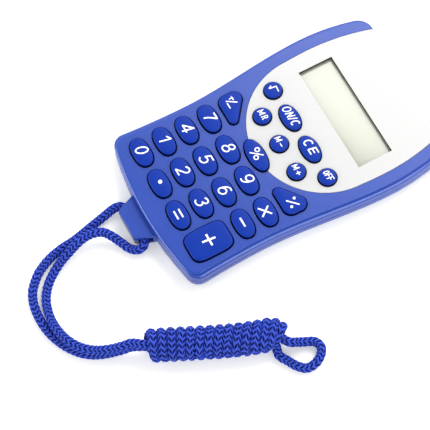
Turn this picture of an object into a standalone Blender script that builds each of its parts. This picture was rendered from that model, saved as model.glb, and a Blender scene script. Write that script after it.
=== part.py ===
"""Handheld pocket calculator on a knitted neck cord, as separate pieces.

Frame: +X to the right across the keys, +Y from the keys towards the display, +Z up out of the
keys. The origin is on the surface that the case lies on, under the middle of the case and its
cord lug. All sizes are in metres.
"""

import math

import bmesh
import bpy
from mathutils import Vector

# ------------------------------------------------------------------ driving sizes: the case
CASE_LENGTH = 0.1193
CASE_THICKNESS = 0.0101
WAIST_WIDTH = 0.0658
WIDEST_WIDTH = 0.0738
FOOT_WIDTH = 0.0695
HEAD_WIDTH = 0.0644
WAIST_FROM_FOOT = 0.0353
WIDEST_FROM_FOOT = 0.0903
FOOT_ARC_RADIUS = 0.138
HEAD_ARC_RADIUS = 0.420
CORNER_REACH = 0.0042

PARTING_HEIGHT = 0.0051
FACE_WALL = 0.0012
SIDE_WALL = 0.0014
FLOOR_WALL = 0.0012
SHOULDER_WIDTH = 0.0017
SHOULDER_DROP = 0.0024
STEP_DROP = 0.0005
END_EDGE_ROUND = 0.0004
HEAD_EDGE_ROUND = 0.0013
BELLY_ROUND = 0.0024
GAP = 0.0003
JOIN_OVERLAP = 0.0003
CUT_MARGIN = 0.0010
THROUGH = 0.0200

# ------------------------------------------------------------------ driving sizes: the lug
LUG_LENGTH = 0.0074
LUG_ROOT_WIDTH = 0.0195
LUG_TIP_WIDTH = 0.0142
LUG_TOP = 0.0070
LUG_BOTTOM = 0.0004
LUG_PLATE = 0.0012
LUG_BAR = 0.0014
LUG_DRAFT = 0.0003

# ------------------------------------------------------------------ driving sizes: the display
PANEL_BORDER = 0.0064
WINDOW_WIDTH = 0.0468
WINDOW_HEIGHT = 0.0150
WINDOW_FROM_FOOT = 0.0896
WINDOW_LIP = 0.00035
GASKET_WIDTH = 0.0022
GASKET_SETBACK = 0.00005
GLASS_BELOW_FACE = 0.0020
GLASS_THICKNESS = 0.0010
REAR_GLASS_THICKNESS = 0.0008
GLASS_LEDGE = 0.0022
ZEBRA_DEPTH = 0.0016

# ------------------------------------------------------------------ driving sizes: the keys
COLUMN_PITCH = 0.0150
ROW_PITCH = 0.0100
KEYS_FROM_FOOT = 0.0113
KEY_CLEARANCE = 0.00035
KEY_RISE = 0.0013
KEY_TRAVEL = 0.0009
KEY_EDGE_ROUND = 0.0005
KEY_FLANGE = 0.0005
KEY_FLANGE_THICKNESS = 0.0007
OVAL_HOLE = (0.887 * COLUMN_PITCH, 0.810 * ROW_PITCH)
ROUND_HOLE = (0.800 * ROW_PITCH, 0.800 * ROW_PITCH)
WIDE_HOLE = (0.860 * COLUMN_PITCH, 0.790 * ROW_PITCH)
PERCENT_HOLE = (1.040 * COLUMN_PITCH, 0.780 * ROW_PITCH)
PLUS_HOLE = (0.893 * COLUMN_PITCH, 1.820 * ROW_PITCH)
TEAR_CIRCLES = (
    (0.260 * COLUMN_PITCH, -0.190 * ROW_PITCH, 0.235 * ROW_PITCH),
    (-0.260 * COLUMN_PITCH, 0.260 * ROW_PITCH, 0.365 * ROW_PITCH),
    (-0.240 * COLUMN_PITCH, -0.040 * ROW_PITCH, 0.385 * ROW_PITCH),
)
OVAL_POWER = 2.35
PLUS_POWER = 4.2
KEY_POINTS = 20

# ------------------------------------------------------------------ driving sizes: the inside
BOARD_THICKNESS = 0.0010
BOARD_UNDERSIDE = 0.0047
MEMBRANE_SHEET = 0.0004
MEMBRANE_PAD_RADIUS = 0.0024
BOARD_MARGIN = 0.0008
CHIP_RADIUS = 0.0045
CHIP_LEVELS = ((0.0011, 0.25), (0.0009, 0.6), (0.0005, 0.92), (0.0, 1.0))
CAPACITOR = (0.0020, 0.0012, 0.0010)
CASE_SCREW_RADIUS = 0.0007
CASE_SCREW_HEAD_RADIUS = 0.0017
CASE_SCREW_HEAD = 0.0010
CASE_BOSS_RADIUS = 0.0021
STANDOFF_RADIUS = 0.0025
SCREW_RECESS = 0.0002
SCREW_SKIN = 0.0015
BOARD_SCREW_RADIUS = 0.0005
BOARD_SCREW_HEAD_RADIUS = 0.0012
BOARD_SCREW_HEAD = 0.0006
BOARD_BOSS_RADIUS = 0.0014
CELL_RADIUS = 0.0058
CELL_THICKNESS = 0.0031
CELL_FROM_HEAD = 0.0114
CAP_RADIUS = 0.0076
CAP_THICKNESS = 0.0009
CAP_RECESS = 0.0001
CAP_LUG_REACH = 0.0010
CAP_LUG_WIDTH = 0.0030
CAP_LUG_THICKNESS = 0.0007
CAP_RING_WALL = 0.0012
CAP_UNLOCK_DEGREES = 60.0
COIN_SLOT = (0.0090, 0.0014, 0.0006)
CELL_CLEARANCE = 0.0004
CUP_WALL = 0.0024
CONTACT_THICKNESS = 0.0003
CONTACT_WIDTH = 0.0030
CONTACT_OFFSET = 0.0023
CONTACT_LEAD = 0.0040
NOTCH_HALF_WIDTH = 0.0046

# ------------------------------------------------------------------ driving sizes: the cord
CORD_DIAMETER = 0.0037
HANK_HALF_WIDTH = 0.0070
HANK_HALF_HEIGHT = 0.0062
TUBE_SPACING = 0.0042

# The cord's places are given from the middle of the lug's outer end, on the surface it lies on.
# Its left strand: out of the lug's left mouth, along the surface, up into the hank.
LEFT_STRAND = [
    (-0.00015, 0.00395, 0.00365),
    (-0.0035, 0.00395, 0.00365),
    (-0.0070, 0.00365, 0.0036),
    (-0.0093, 0.00185, 0.0034),
    (-0.0097, -0.00115, 0.0029),
    (-0.0089, -0.00565, 0.0022),
    (-0.0080, -0.01015, 0.0019),
    (-0.0069, -0.01465, 0.0019),
    (-0.0057, -0.02005, 0.0019),
    (-0.0050, -0.02595, 0.0019),
    (-0.0034, -0.03195, 0.0019),
    (-0.0009, -0.03705, 0.0019),
    (0.0022, -0.04075, 0.0019),
    (0.0057, -0.04355, 0.0019),
    (0.0106, -0.04535, 0.0019),
    (0.0159, -0.04595, 0.0019),
    (0.0211, -0.04565, 0.0019),
    (0.0258, -0.04455, 0.0019),
    (0.0308, -0.04235, 0.0019),
    (0.0352, -0.03925, 0.0019),
    (0.0383, -0.03565, 0.0019),
    (0.0404, -0.03165, 0.0020),
    (0.0419, -0.02735, 0.0024),
    (0.0431, -0.02345, 0.0034),
    (0.0441, -0.02045, 0.0045),
]

# Its right strand: out of the right mouth, over the left strand, beside it and over it again.
RIGHT_STRAND = [
    (0.00015, 0.00395, 0.00365),
    (0.0035, 0.00395, 0.00365),
    (0.0070, 0.00385, 0.00365),
    (0.0095, 0.00255, 0.0036),
    (0.0099, -0.00025, 0.0029),
    (0.0076, -0.00275, 0.0022),
    (0.0043, -0.00445, 0.0027),
    (0.0009, -0.00635, 0.0038),
    (-0.0020, -0.00885, 0.0050),
    (-0.0033, -0.01235, 0.0057),
    (-0.0035, -0.01635, 0.0057),
    (-0.0026, -0.02025, 0.0053),
    (-0.0013, -0.02435, 0.0043),
    (0.0000, -0.02845, 0.0030),
    (0.0020, -0.03225, 0.0021),
    (0.0049, -0.03605, 0.0019),
    (0.0083, -0.03895, 0.0019),
    (0.0119, -0.04085, 0.0021),
    (0.0157, -0.04195, 0.0028),
    (0.0203, -0.04255, 0.0040),
    (0.0253, -0.04225, 0.0053),
    (0.0300, -0.04105, 0.0059),
    (0.0343, -0.03875, 0.0060),
    (0.0377, -0.03555, 0.0060),
    (0.0401, -0.03175, 0.0061),
    (0.0418, -0.02755, 0.0065),
    (0.0430, -0.02345, 0.0073),
    (0.0439, -0.02045, 0.0081),
]

# The hank's axis, and the single loop of cord at its far end.
HANK_AXIS = [
    (0.0452, -0.01925),
    (0.0499, -0.00945),
    (0.0547, 0.00065),
    (0.0592, 0.01035),
    (0.0632, 0.02035),
    (0.0664, 0.03095),
]
END_LOOP = [
    (0.0701, 0.03145, 0.0040),
    (0.0716, 0.03455, 0.0026),
    (0.0729, 0.03775, 0.0019),
    (0.0746, 0.04085, 0.0019),
    (0.0775, 0.04175, 0.0019),
    (0.0803, 0.03985, 0.0019),
    (0.0821, 0.03635, 0.0019),
    (0.0820, 0.03275, 0.0019),
    (0.0795, 0.03005, 0.0019),
    (0.0760, 0.02805, 0.0019),
    (0.0727, 0.02635, 0.0019),
]

# ------------------------------------------------------------------ places worked out from the sizes
TOTAL_LENGTH = CASE_LENGTH + LUG_LENGTH
FOOT_Y = LUG_LENGTH - TOTAL_LENGTH / 2
HEAD_Y = TOTAL_LENGTH / 2
LUG_TIP_Y = -TOTAL_LENGTH / 2
WAIST_Y = FOOT_Y + WAIST_FROM_FOOT
WIDEST_Y = FOOT_Y + WIDEST_FROM_FOOT
FIRST_ROW_Y = FOOT_Y + KEYS_FROM_FOOT
WINDOW_Y = FOOT_Y + WINDOW_FROM_FOOT
CELL_Y = HEAD_Y - CELL_FROM_HEAD
CUP_RADIUS = CELL_RADIUS + CELL_CLEARANCE + CUP_WALL

FACE_Z = CASE_THICKNESS
CEILING_Z = FACE_Z - FACE_WALL
BOARD_TOP = BOARD_UNDERSIDE + BOARD_THICKNESS
FLANGE_TOP = CEILING_Z - GAP
FLANGE_BOTTOM = FLANGE_TOP - KEY_FLANGE_THICKNESS
PAD_TOP = FLANGE_BOTTOM - KEY_TRAVEL - GAP
SCREW_HOLE_TOP = FACE_Z - SCREW_SKIN
SCREW_END = SCREW_HOLE_TOP - GAP
GLASS_TOP = FACE_Z - GLASS_BELOW_FACE

BLUE = (0.055, 0.095, 0.52, 1.0)
KEY_BLUE = (0.014, 0.040, 0.42, 1.0)
CORD_BLUE = (0.020, 0.045, 0.50, 1.0)
WHITE = (0.86, 0.86, 0.86, 1.0)
BLACK = (0.02, 0.018, 0.018, 1.0)
BOARD_GREEN = (0.03, 0.18, 0.07, 1.0)
LCD_GREY = (0.62, 0.66, 0.52, 1.0)
RUBBER_GREY = (0.45, 0.46, 0.48, 1.0)
STEEL = (0.62, 0.62, 0.60, 1.0)
BRASS = (0.75, 0.62, 0.38, 1.0)
CERAMIC = (0.55, 0.40, 0.25, 1.0)

PARTS_COLLECTION = "pocket_calculator"
CUTTERS_COLLECTION = "cutters"


# ------------------------------------------------------------------ scene and object helpers
def clear_scene():
    for item in list(bpy.data.objects):
        bpy.data.objects.remove(item, do_unlink=True)
    for name in (PARTS_COLLECTION, CUTTERS_COLLECTION):
        collection = bpy.data.collections.new(name)
        bpy.context.scene.collection.children.link(collection)


def finish(name, colour, roughness, metallic=0.0):
    """A plain Principled material, made once for each finish."""
    if name in bpy.data.materials:
        return bpy.data.materials[name]
    made = bpy.data.materials.new(name)
    made.use_nodes = True
    shader = made.node_tree.nodes["Principled BSDF"]
    shader.inputs["Base Color"].default_value = colour
    shader.inputs["Roughness"].default_value = roughness
    shader.inputs["Metallic"].default_value = metallic
    return made


def add_piece(name, mesh, material, location=(0.0, 0.0, 0.0)):
    """One named sub-part in the calculator's collection."""
    piece = bpy.data.objects.new(name, mesh)
    piece.location = location
    mesh.materials.append(material)
    bpy.data.collections[PARTS_COLLECTION].objects.link(piece)
    return piece


def add_cutter(name, mesh):
    cutter = bpy.data.objects.new(name, mesh)
    cutter.hide_render = True
    cutter.display_type = "WIRE"
    bpy.data.collections[CUTTERS_COLLECTION].objects.link(cutter)
    return cutter


def combine(piece, tool, operation):
    """Cut, join or intersect a piece with one tool body."""
    step = piece.modifiers.new(operation.lower() + "_" + tool.name, "BOOLEAN")
    step.operation = operation
    step.solver = "EXACT"
    step.object = tool


def combine_group(piece, label, tools, operation):
    """Cut or join a piece with many tools at once, kept in a collection of their own."""
    group = bpy.data.collections.new(label)
    bpy.data.collections[CUTTERS_COLLECTION].children.link(group)
    for tool in tools:
        group.objects.link(tool)
        bpy.data.collections[CUTTERS_COLLECTION].objects.unlink(tool)
    step = piece.modifiers.new(label, "BOOLEAN")
    step.operation = operation
    step.solver = "EXACT"
    step.operand_type = "COLLECTION"
    step.collection = group


def shade_round(mesh, angle=35.0):
    mesh.shade_smooth()
    mesh.set_sharp_from_angle(angle=math.radians(angle))


# ------------------------------------------------------------------ mesh helpers
def loft(name, rings):
    """A closed body through rings of equal count, each a list of (x, y, z), with flat ends."""
    shape = bmesh.new()
    loops = [[shape.verts.new(point) for point in ring] for ring in rings]
    count = len(rings[0])
    for lower, upper in zip(loops, loops[1:]):
        for index in range(count):
            following = (index + 1) % count
            shape.faces.new((lower[index], lower[following], upper[following], upper[index]))
    shape.faces.new(list(reversed(loops[0])))
    shape.faces.new(loops[-1])
    bmesh.ops.recalc_face_normals(shape, faces=shape.faces)
    mesh = bpy.data.meshes.new(name)
    shape.to_mesh(mesh)
    shape.free()
    return mesh


def prism(name, outline, bottom, top):
    """An upright body with a flat outline."""
    return loft(name, [[(x, y, z) for x, y in outline] for z in (bottom, top)])


def slab(name, low, high):
    """A box given by its two opposite corners."""
    outline = [(low[0], low[1]), (high[0], low[1]), (high[0], high[1]), (low[0], high[1])]
    return prism(name, outline, low[2], high[2])


def circle(radius, count, centre=(0.0, 0.0)):
    turns = [2 * math.pi * index / count for index in range(count)]
    return [(centre[0] + radius * math.cos(t), centre[1] + radius * math.sin(t)) for t in turns]


def post(name, radius, centre, bottom, top, count=16):
    """An upright cylinder."""
    return prism(name, circle(radius, count, centre), bottom, top)


# ------------------------------------------------------------------ the case's outline
def half_width(y):
    """Half the case's width at a distance along it: a flared foot, a waist and a wide head."""
    waist = WAIST_WIDTH / 2
    widest = WIDEST_WIDTH / 2
    if y < WAIST_Y:
        flare = (WAIST_Y - y) / WAIST_FROM_FOOT
        return waist + (FOOT_WIDTH / 2 - waist) * flare ** 2
    if y < WIDEST_Y:
        along = (y - WAIST_Y) / (WIDEST_Y - WAIST_Y)
        return waist + (widest - waist) * along ** 2 * (3 - 2 * along)
    taper = (y - WIDEST_Y) / (HEAD_Y - WIDEST_Y)
    return widest - (widest - HEAD_WIDTH / 2) * taper ** 2


def bezier(start, first, second, end, share):
    rest = 1 - share
    weights = (rest ** 3, 3 * rest ** 2 * share, 3 * rest * share ** 2, share ** 3)
    points = (start, first, second, end)
    return tuple(sum(w * p[axis] for w, p in zip(weights, points)) for axis in (0, 1))


def end_corner(end_y, radius, direction, side):
    """Where an end's arc, of the given radius, meets the case's side line."""
    y = end_y
    for _ in range(12):
        x = half_width(y) - side
        y = end_y + direction * x * x / (2 * radius)
    return x, y


def case_outline(side, foot, head, reach=CORNER_REACH):
    """The case's outline moved inwards by side, foot and head, with rounded corners."""
    foot_y = FOOT_Y + foot
    head_y = HEAD_Y - head
    foot_corner = end_corner(foot_y, FOOT_ARC_RADIUS, 1, side)
    head_corner = end_corner(head_y, HEAD_ARC_RADIUS, -1, side)
    right = []
    for share in (0.25, 0.5, 0.75):
        x = (foot_corner[0] - reach) * share
        right.append((x, foot_y + x * x / (2 * FOOT_ARC_RADIUS)))
    right += corner_points(foot_corner, foot_y, FOOT_ARC_RADIUS, 1, side, reach)
    low = foot_corner[1] + reach
    high = head_corner[1] - reach
    steps = 15
    for index in range(1, steps):
        y = low + (high - low) * index / steps
        right.append((half_width(y) - side, y))
    right += reversed(corner_points(head_corner, head_y, HEAD_ARC_RADIUS, -1, side, reach))
    for share in (0.75, 0.5, 0.25):
        x = (head_corner[0] - reach) * share
        right.append((x, head_y - x * x / (2 * HEAD_ARC_RADIUS)))
    left = [(-x, y) for x, y in reversed(right)]
    return [(0.0, foot_y)] + right + [(0.0, head_y)] + left


def corner_points(corner, end_y, radius, direction, side, reach):
    """A rounded corner, from the end's arc round to the side line."""
    x = corner[0] - reach
    start = (x, end_y + direction * x * x / (2 * radius))
    y = corner[1] + direction * reach
    end = (half_width(y) - side, y)
    pull = 0.56
    first = tuple(start[a] + (corner[a] - start[a]) * pull for a in (0, 1))
    second = tuple(end[a] + (corner[a] - end[a]) * pull for a in (0, 1))
    return [bezier(start, first, second, end, share) for share in (0.0, 0.25, 0.5, 0.75, 1.0)]


def case_ring(side, foot, head, z, reach=CORNER_REACH):
    return [(x, y, z) for x, y in case_outline(side, foot, head, reach)]


def upper_case_body():
    """The whole upper case before its parts are told apart: walls, shoulder, step and face."""
    step_in = SHOULDER_WIDTH - 0.00015
    arc = []
    for turn in (0.0, 30.0, 60.0, 90.0):
        across = step_in * (1 - math.cos(math.radians(turn)))
        down = (SHOULDER_DROP - STEP_DROP) * (1 - math.sin(math.radians(turn)))
        arc.append((across, FACE_Z - STEP_DROP - down))
    rings = [case_ring(0.0, 0.0, 0.0, PARTING_HEIGHT + GAP / 2)]
    for across, z in arc:
        share = across / step_in
        foot = END_EDGE_ROUND * share * 0.3
        head = HEAD_EDGE_ROUND * share * 0.6
        rings.append(case_ring(across, foot, head, z))
    rings.append(case_ring(SHOULDER_WIDTH, END_EDGE_ROUND * 0.5, HEAD_EDGE_ROUND * 0.8,
                           FACE_Z - END_EDGE_ROUND * 0.4))
    rings.append(case_ring(SHOULDER_WIDTH + 0.0002, END_EDGE_ROUND, HEAD_EDGE_ROUND, FACE_Z))
    return rings


def upper_cavity():
    """The hollow under the face."""
    inner = SIDE_WALL + SHOULDER_WIDTH
    return loft("upper_cavity", [
        case_ring(SIDE_WALL, SIDE_WALL, SIDE_WALL, PARTING_HEIGHT - 0.001),
        case_ring(SIDE_WALL, SIDE_WALL, SIDE_WALL, FACE_Z - SHOULDER_DROP - 0.0006),
        case_ring(inner, SIDE_WALL, SIDE_WALL + HEAD_EDGE_ROUND * 0.5, CEILING_Z),
    ])


# ------------------------------------------------------------------ the display panel's outline
def panel_outline(grow):
    """The white panel's outline: a round lower end, sides beside the case's, open at the head."""
    border = PANEL_BORDER - grow
    centre_y = panel_centre()
    radius = half_width(centre_y) - border
    points = []
    for index in range(17):
        turn = math.pi * index / 16
        points.append((-radius * math.cos(turn), centre_y - radius * math.sin(turn)))
    steps = 6
    beyond = HEAD_Y + 0.003
    for index in range(1, steps + 1):
        y = centre_y + (beyond - centre_y) * index / steps
        points.append((half_width(y) - border, y))
    for index in range(steps, 0, -1):
        y = centre_y + (beyond - centre_y) * index / steps
        points.append((border - half_width(y), y))
    return points


def panel_centre():
    """The middle of the panel's round lower end, as far below the window as its radius asks."""
    return WINDOW_Y - 0.0100


# ------------------------------------------------------------------ key outlines
def oval(size, power, grow):
    """A flattened oval: a superellipse of the given size, grown by a margin."""
    half_x = size[0] / 2 + grow
    half_y = size[1] / 2 + grow
    points = []
    for index in range(KEY_POINTS):
        turn = 2 * math.pi * index / KEY_POINTS
        across = math.cos(turn)
        along = math.sin(turn)
        x = half_x * math.copysign(abs(across) ** (2 / power), across)
        y = half_y * math.copysign(abs(along) ** (2 / power), along)
        points.append((x, y))
    return points


def teardrop(mirror, grow):
    """The line round three circles: a wide end made of two and a narrow end made of one."""
    leave = []
    for index, (x, y, radius) in enumerate(TEAR_CIRCLES):
        next_x, next_y, next_radius = TEAR_CIRCLES[(index + 1) % 3]
        apart = math.hypot(next_x - x, next_y - y)
        heading = math.atan2(next_y - y, next_x - x)
        leave.append(heading - math.acos((radius - next_radius) / apart))
    points = []
    for index, (x, y, radius) in enumerate(TEAR_CIRCLES):
        start = leave[index - 1]
        sweep = (leave[index] - start) % (2 * math.pi)
        for step in range(7):
            turn = start + sweep * step / 6
            points.append((x + (radius + grow) * math.cos(turn), y + (radius + grow) * math.sin(turn)))
    if mirror:
        points = [(-x, y) for x, y in reversed(points)]
    return points


def key_layout():
    """Every key: its name, its middle and a function that gives its hole's outline plus a margin."""
    def oval_hole(size, power=OVAL_POWER):
        return lambda grow: oval(size, power, grow)

    def place(column, row):
        return ((column - 1.5) * COLUMN_PITCH, FIRST_ROW_Y + row * ROW_PITCH)

    rows = [
        ["key_0", "key_decimal", "key_equals"],
        ["key_1", "key_2", "key_3"],
        ["key_4", "key_5", "key_6", "key_minus"],
        ["key_7", "key_8", "key_9", "key_multiply"],
    ]
    keys = []
    for row, names in enumerate(rows):
        for column, name in enumerate(names):
            keys.append((name, place(column, row), oval_hole(OVAL_HOLE)))
    keys.append(("key_plus", place(3, 0.5), oval_hole(PLUS_HOLE, PLUS_POWER)))
    sign = place(0.063, 4.0)
    keys.append(("key_sign", sign, lambda grow: teardrop(False, grow)))
    keys.append(("key_divide", (-sign[0], sign[1]), lambda grow: teardrop(True, grow)))
    keys.append(("key_percent", place(1.5, 3.85), oval_hole(PERCENT_HOLE, 2.1)))
    memory_y = FIRST_ROW_Y + 4.87 * ROW_PITCH
    power_y = FIRST_ROW_Y + 5.80 * ROW_PITCH
    for name, column in (("key_mr", 0.6), ("key_m_minus", 1.5), ("key_m_plus", 2.4)):
        keys.append((name, (place(column, 0)[0], memory_y), oval_hole(ROUND_HOLE, 2.0)))
    for name, column in (("key_on_c", 0.985), ("key_ce", 2.015)):
        keys.append((name, (place(column, 0)[0], power_y), oval_hole(WIDE_HOLE, 2.1)))
    for name, column in (("key_square_root", 0.08), ("key_off", 2.92)):
        keys.append((name, (place(column, 0)[0], power_y), oval_hole(ROUND_HOLE, 2.0)))
    return keys


def make_keys(keys):
    """Each key: a flange held under the face and a cap that stands out of its hole."""
    plastic = finish("key plastic", KEY_BLUE, 0.35)
    top = FACE_Z + KEY_RISE
    for name, (x, y), outline in keys:
        levels = [
            (KEY_FLANGE, FLANGE_BOTTOM),
            (KEY_FLANGE, FLANGE_TOP),
            (-KEY_CLEARANCE, FLANGE_TOP),
            (-KEY_CLEARANCE, top - KEY_EDGE_ROUND),
            (-KEY_CLEARANCE - KEY_EDGE_ROUND, top),
        ]
        rings = []
        for grow, z in levels:
            rings.append([(px, py, z - FACE_Z) for px, py in outline(grow)])
        mesh = loft(name, rings)
        shade_round(mesh)
        add_piece(name, mesh, plastic, (x, y, FACE_Z))


# ------------------------------------------------------------------ where the fasteners go
def case_screw_places():
    """Six case screws: two at the foot, two beside the display panel and two at the head."""
    foot = FIRST_ROW_Y - 0.64 * ROW_PITCH
    middle = FIRST_ROW_Y + 5.2 * ROW_PITCH
    head = HEAD_Y - CELL_FROM_HEAD + 0.0004
    beside = half_width(middle) - SIDE_WALL - CASE_BOSS_RADIUS - 0.0011
    across = CAP_RADIUS + CUP_WALL + 0.0120
    return [
        ("foot", -COLUMN_PITCH, foot), ("foot", COLUMN_PITCH, foot),
        ("middle", -beside, middle), ("middle", beside, middle),
        ("head", -across, head), ("head", across, head),
    ]


def board_screw_places():
    """Four small screws that hold the circuit board to the face, between the keys."""
    between_rows = FIRST_ROW_Y + ROW_PITCH / 2
    return [
        ("front", 0.0, between_rows),
        ("front", -COLUMN_PITCH, between_rows + 2 * ROW_PITCH),
        ("front", COLUMN_PITCH, between_rows + 2 * ROW_PITCH),
        ("display", 0.0, WINDOW_Y - 0.0142),
    ]


# ------------------------------------------------------------------ the covers
def lug_outline(inset):
    """The lug's plan: a plate that narrows away from the case and starts inside its wall."""
    root = LUG_ROOT_WIDTH / 2 - inset
    tip = LUG_TIP_WIDTH / 2 - inset
    tip_y = LUG_TIP_Y + inset
    root_y = FOOT_Y + SIDE_WALL * 0.6
    soft = 0.0008
    return [
        (-tip + soft, tip_y), (tip - soft, tip_y), (tip, tip_y + soft), (root, FOOT_Y),
        (root, root_y), (-root, root_y), (-root, FOOT_Y), (-tip, tip_y + soft),
    ]


def lug_half(name, low, high, low_inset, high_inset):
    rings = []
    for z, inset in ((low, low_inset), (high, high_inset)):
        rings.append([(x, y, z) for x, y in lug_outline(inset)])
    return loft(name, rings)


def lug_tunnel(name):
    """The way through the lug for the cord, from mouth to mouth."""
    reach = LUG_ROOT_WIDTH
    low = LUG_BOTTOM + LUG_PLATE
    high = LUG_TOP - LUG_PLATE
    return slab(name, (-reach, LUG_TIP_Y + LUG_BAR, low), (reach, FOOT_Y - 0.0006, high))


def make_upper_covers(keys):
    blue = finish("case plastic", BLUE, 0.4)
    white = finish("panel plastic", WHITE, 0.35)
    rings = upper_case_body()
    front = add_piece("front_cover", loft("front_cover", rings), blue)
    display = add_piece("display_cover", loft("display_cover", rings), white)
    posts = {"front": [], "display": []}
    holes = {"front": [], "display": []}
    for index, (where, x, y) in enumerate(case_screw_places()):
        owner = "display" if where == "head" else "front"
        label = "case_boss_%d" % (index + 1)
        low = PARTING_HEIGHT + GAP / 2 + GAP
        boss = post(label, CASE_BOSS_RADIUS, (x, y), low, CEILING_Z + JOIN_OVERLAP)
        posts[owner].append(add_cutter(label, boss))
        label += "_bore"
        bore = post(label, CASE_SCREW_RADIUS + GAP, (x, y), low - CUT_MARGIN, SCREW_HOLE_TOP, 12)
        holes[owner].append(add_cutter(label, bore))
    for index, (owner, x, y) in enumerate(board_screw_places()):
        label = "board_boss_%d" % (index + 1)
        low = BOARD_TOP + GAP
        boss = post(label, BOARD_BOSS_RADIUS, (x, y), low, CEILING_Z + JOIN_OVERLAP, 12)
        posts[owner].append(add_cutter(label, boss))
        label += "_bore"
        bore = post(label, BOARD_SCREW_RADIUS + GAP, (x, y), low - CUT_MARGIN, SCREW_HOLE_TOP, 8)
        holes[owner].append(add_cutter(label, bore))
    for name, (x, y), outline in keys:
        label = name + "_hole"
        hole = [(x + px, y + py) for px, py in outline(0.0)]
        over_front = any(not inside_panel_line(px, py, -CUT_MARGIN) for px, py in hole)
        over_display = any(inside_panel_line(px, py, CUT_MARGIN) for px, py in hole)
        for owner, wanted in (("front", over_front), ("display", over_display)):
            if wanted:
                cutter = label + "_" + owner
                mesh = prism(cutter, hole, CEILING_Z - CUT_MARGIN, FACE_Z + CUT_MARGIN)
                holes[owner].append(add_cutter(cutter, mesh))
    tunnel = add_cutter("lug_tunnel_upper", lug_tunnel("lug_tunnel_upper"))
    holes["front"].append(tunnel)

    half_x = WINDOW_WIDTH / 2
    half_y = WINDOW_HEIGHT / 2
    window = slab("window", (-half_x, WINDOW_Y - half_y, 0.0), (half_x, WINDOW_Y + half_y, THROUGH))
    pocket_x = half_x + GASKET_WIDTH + GAP
    pocket_y = half_y + GASKET_WIDTH + GAP
    pocket = slab("gasket_pocket", (-pocket_x, WINDOW_Y - pocket_y, CEILING_Z - CUT_MARGIN),
                  (pocket_x, WINDOW_Y + pocket_y, FACE_Z - WINDOW_LIP))
    cavity = add_cutter("upper_cavity", upper_cavity())
    opening = prism("panel_opening", panel_outline(GAP / 2), 0.0, THROUGH)
    shape = prism("panel_shape", panel_outline(-GAP / 2), 0.0, THROUGH)
    lug = lug_half("lug_upper", PARTING_HEIGHT + GAP / 2, LUG_TOP, 0.0, LUG_DRAFT)
    combine(front, cavity, "DIFFERENCE")
    combine(display, cavity, "DIFFERENCE")
    combine_group(front, "front_posts", posts["front"], "UNION")
    combine_group(display, "display_posts", posts["display"], "UNION")
    combine(front, add_cutter("panel_opening", opening), "DIFFERENCE")
    combine(display, add_cutter("panel_shape", shape), "INTERSECT")
    combine(front, add_cutter("lug_upper", lug), "UNION")
    combine_group(front, "front_holes", holes["front"], "DIFFERENCE")
    combine_group(display, "display_holes", holes["display"], "DIFFERENCE")
    combine(display, add_cutter("gasket_pocket", pocket), "DIFFERENCE")
    combine(display, add_cutter("window", window), "DIFFERENCE")


def inside_panel_line(x, y, grow):
    """Whether a point lies within the panel's outline grown by a margin."""
    border = PANEL_BORDER - grow
    centre_y = panel_centre()
    if y > centre_y:
        return abs(x) < half_width(y) - border
    return math.hypot(x, y - centre_y) < half_width(centre_y) - border


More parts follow.
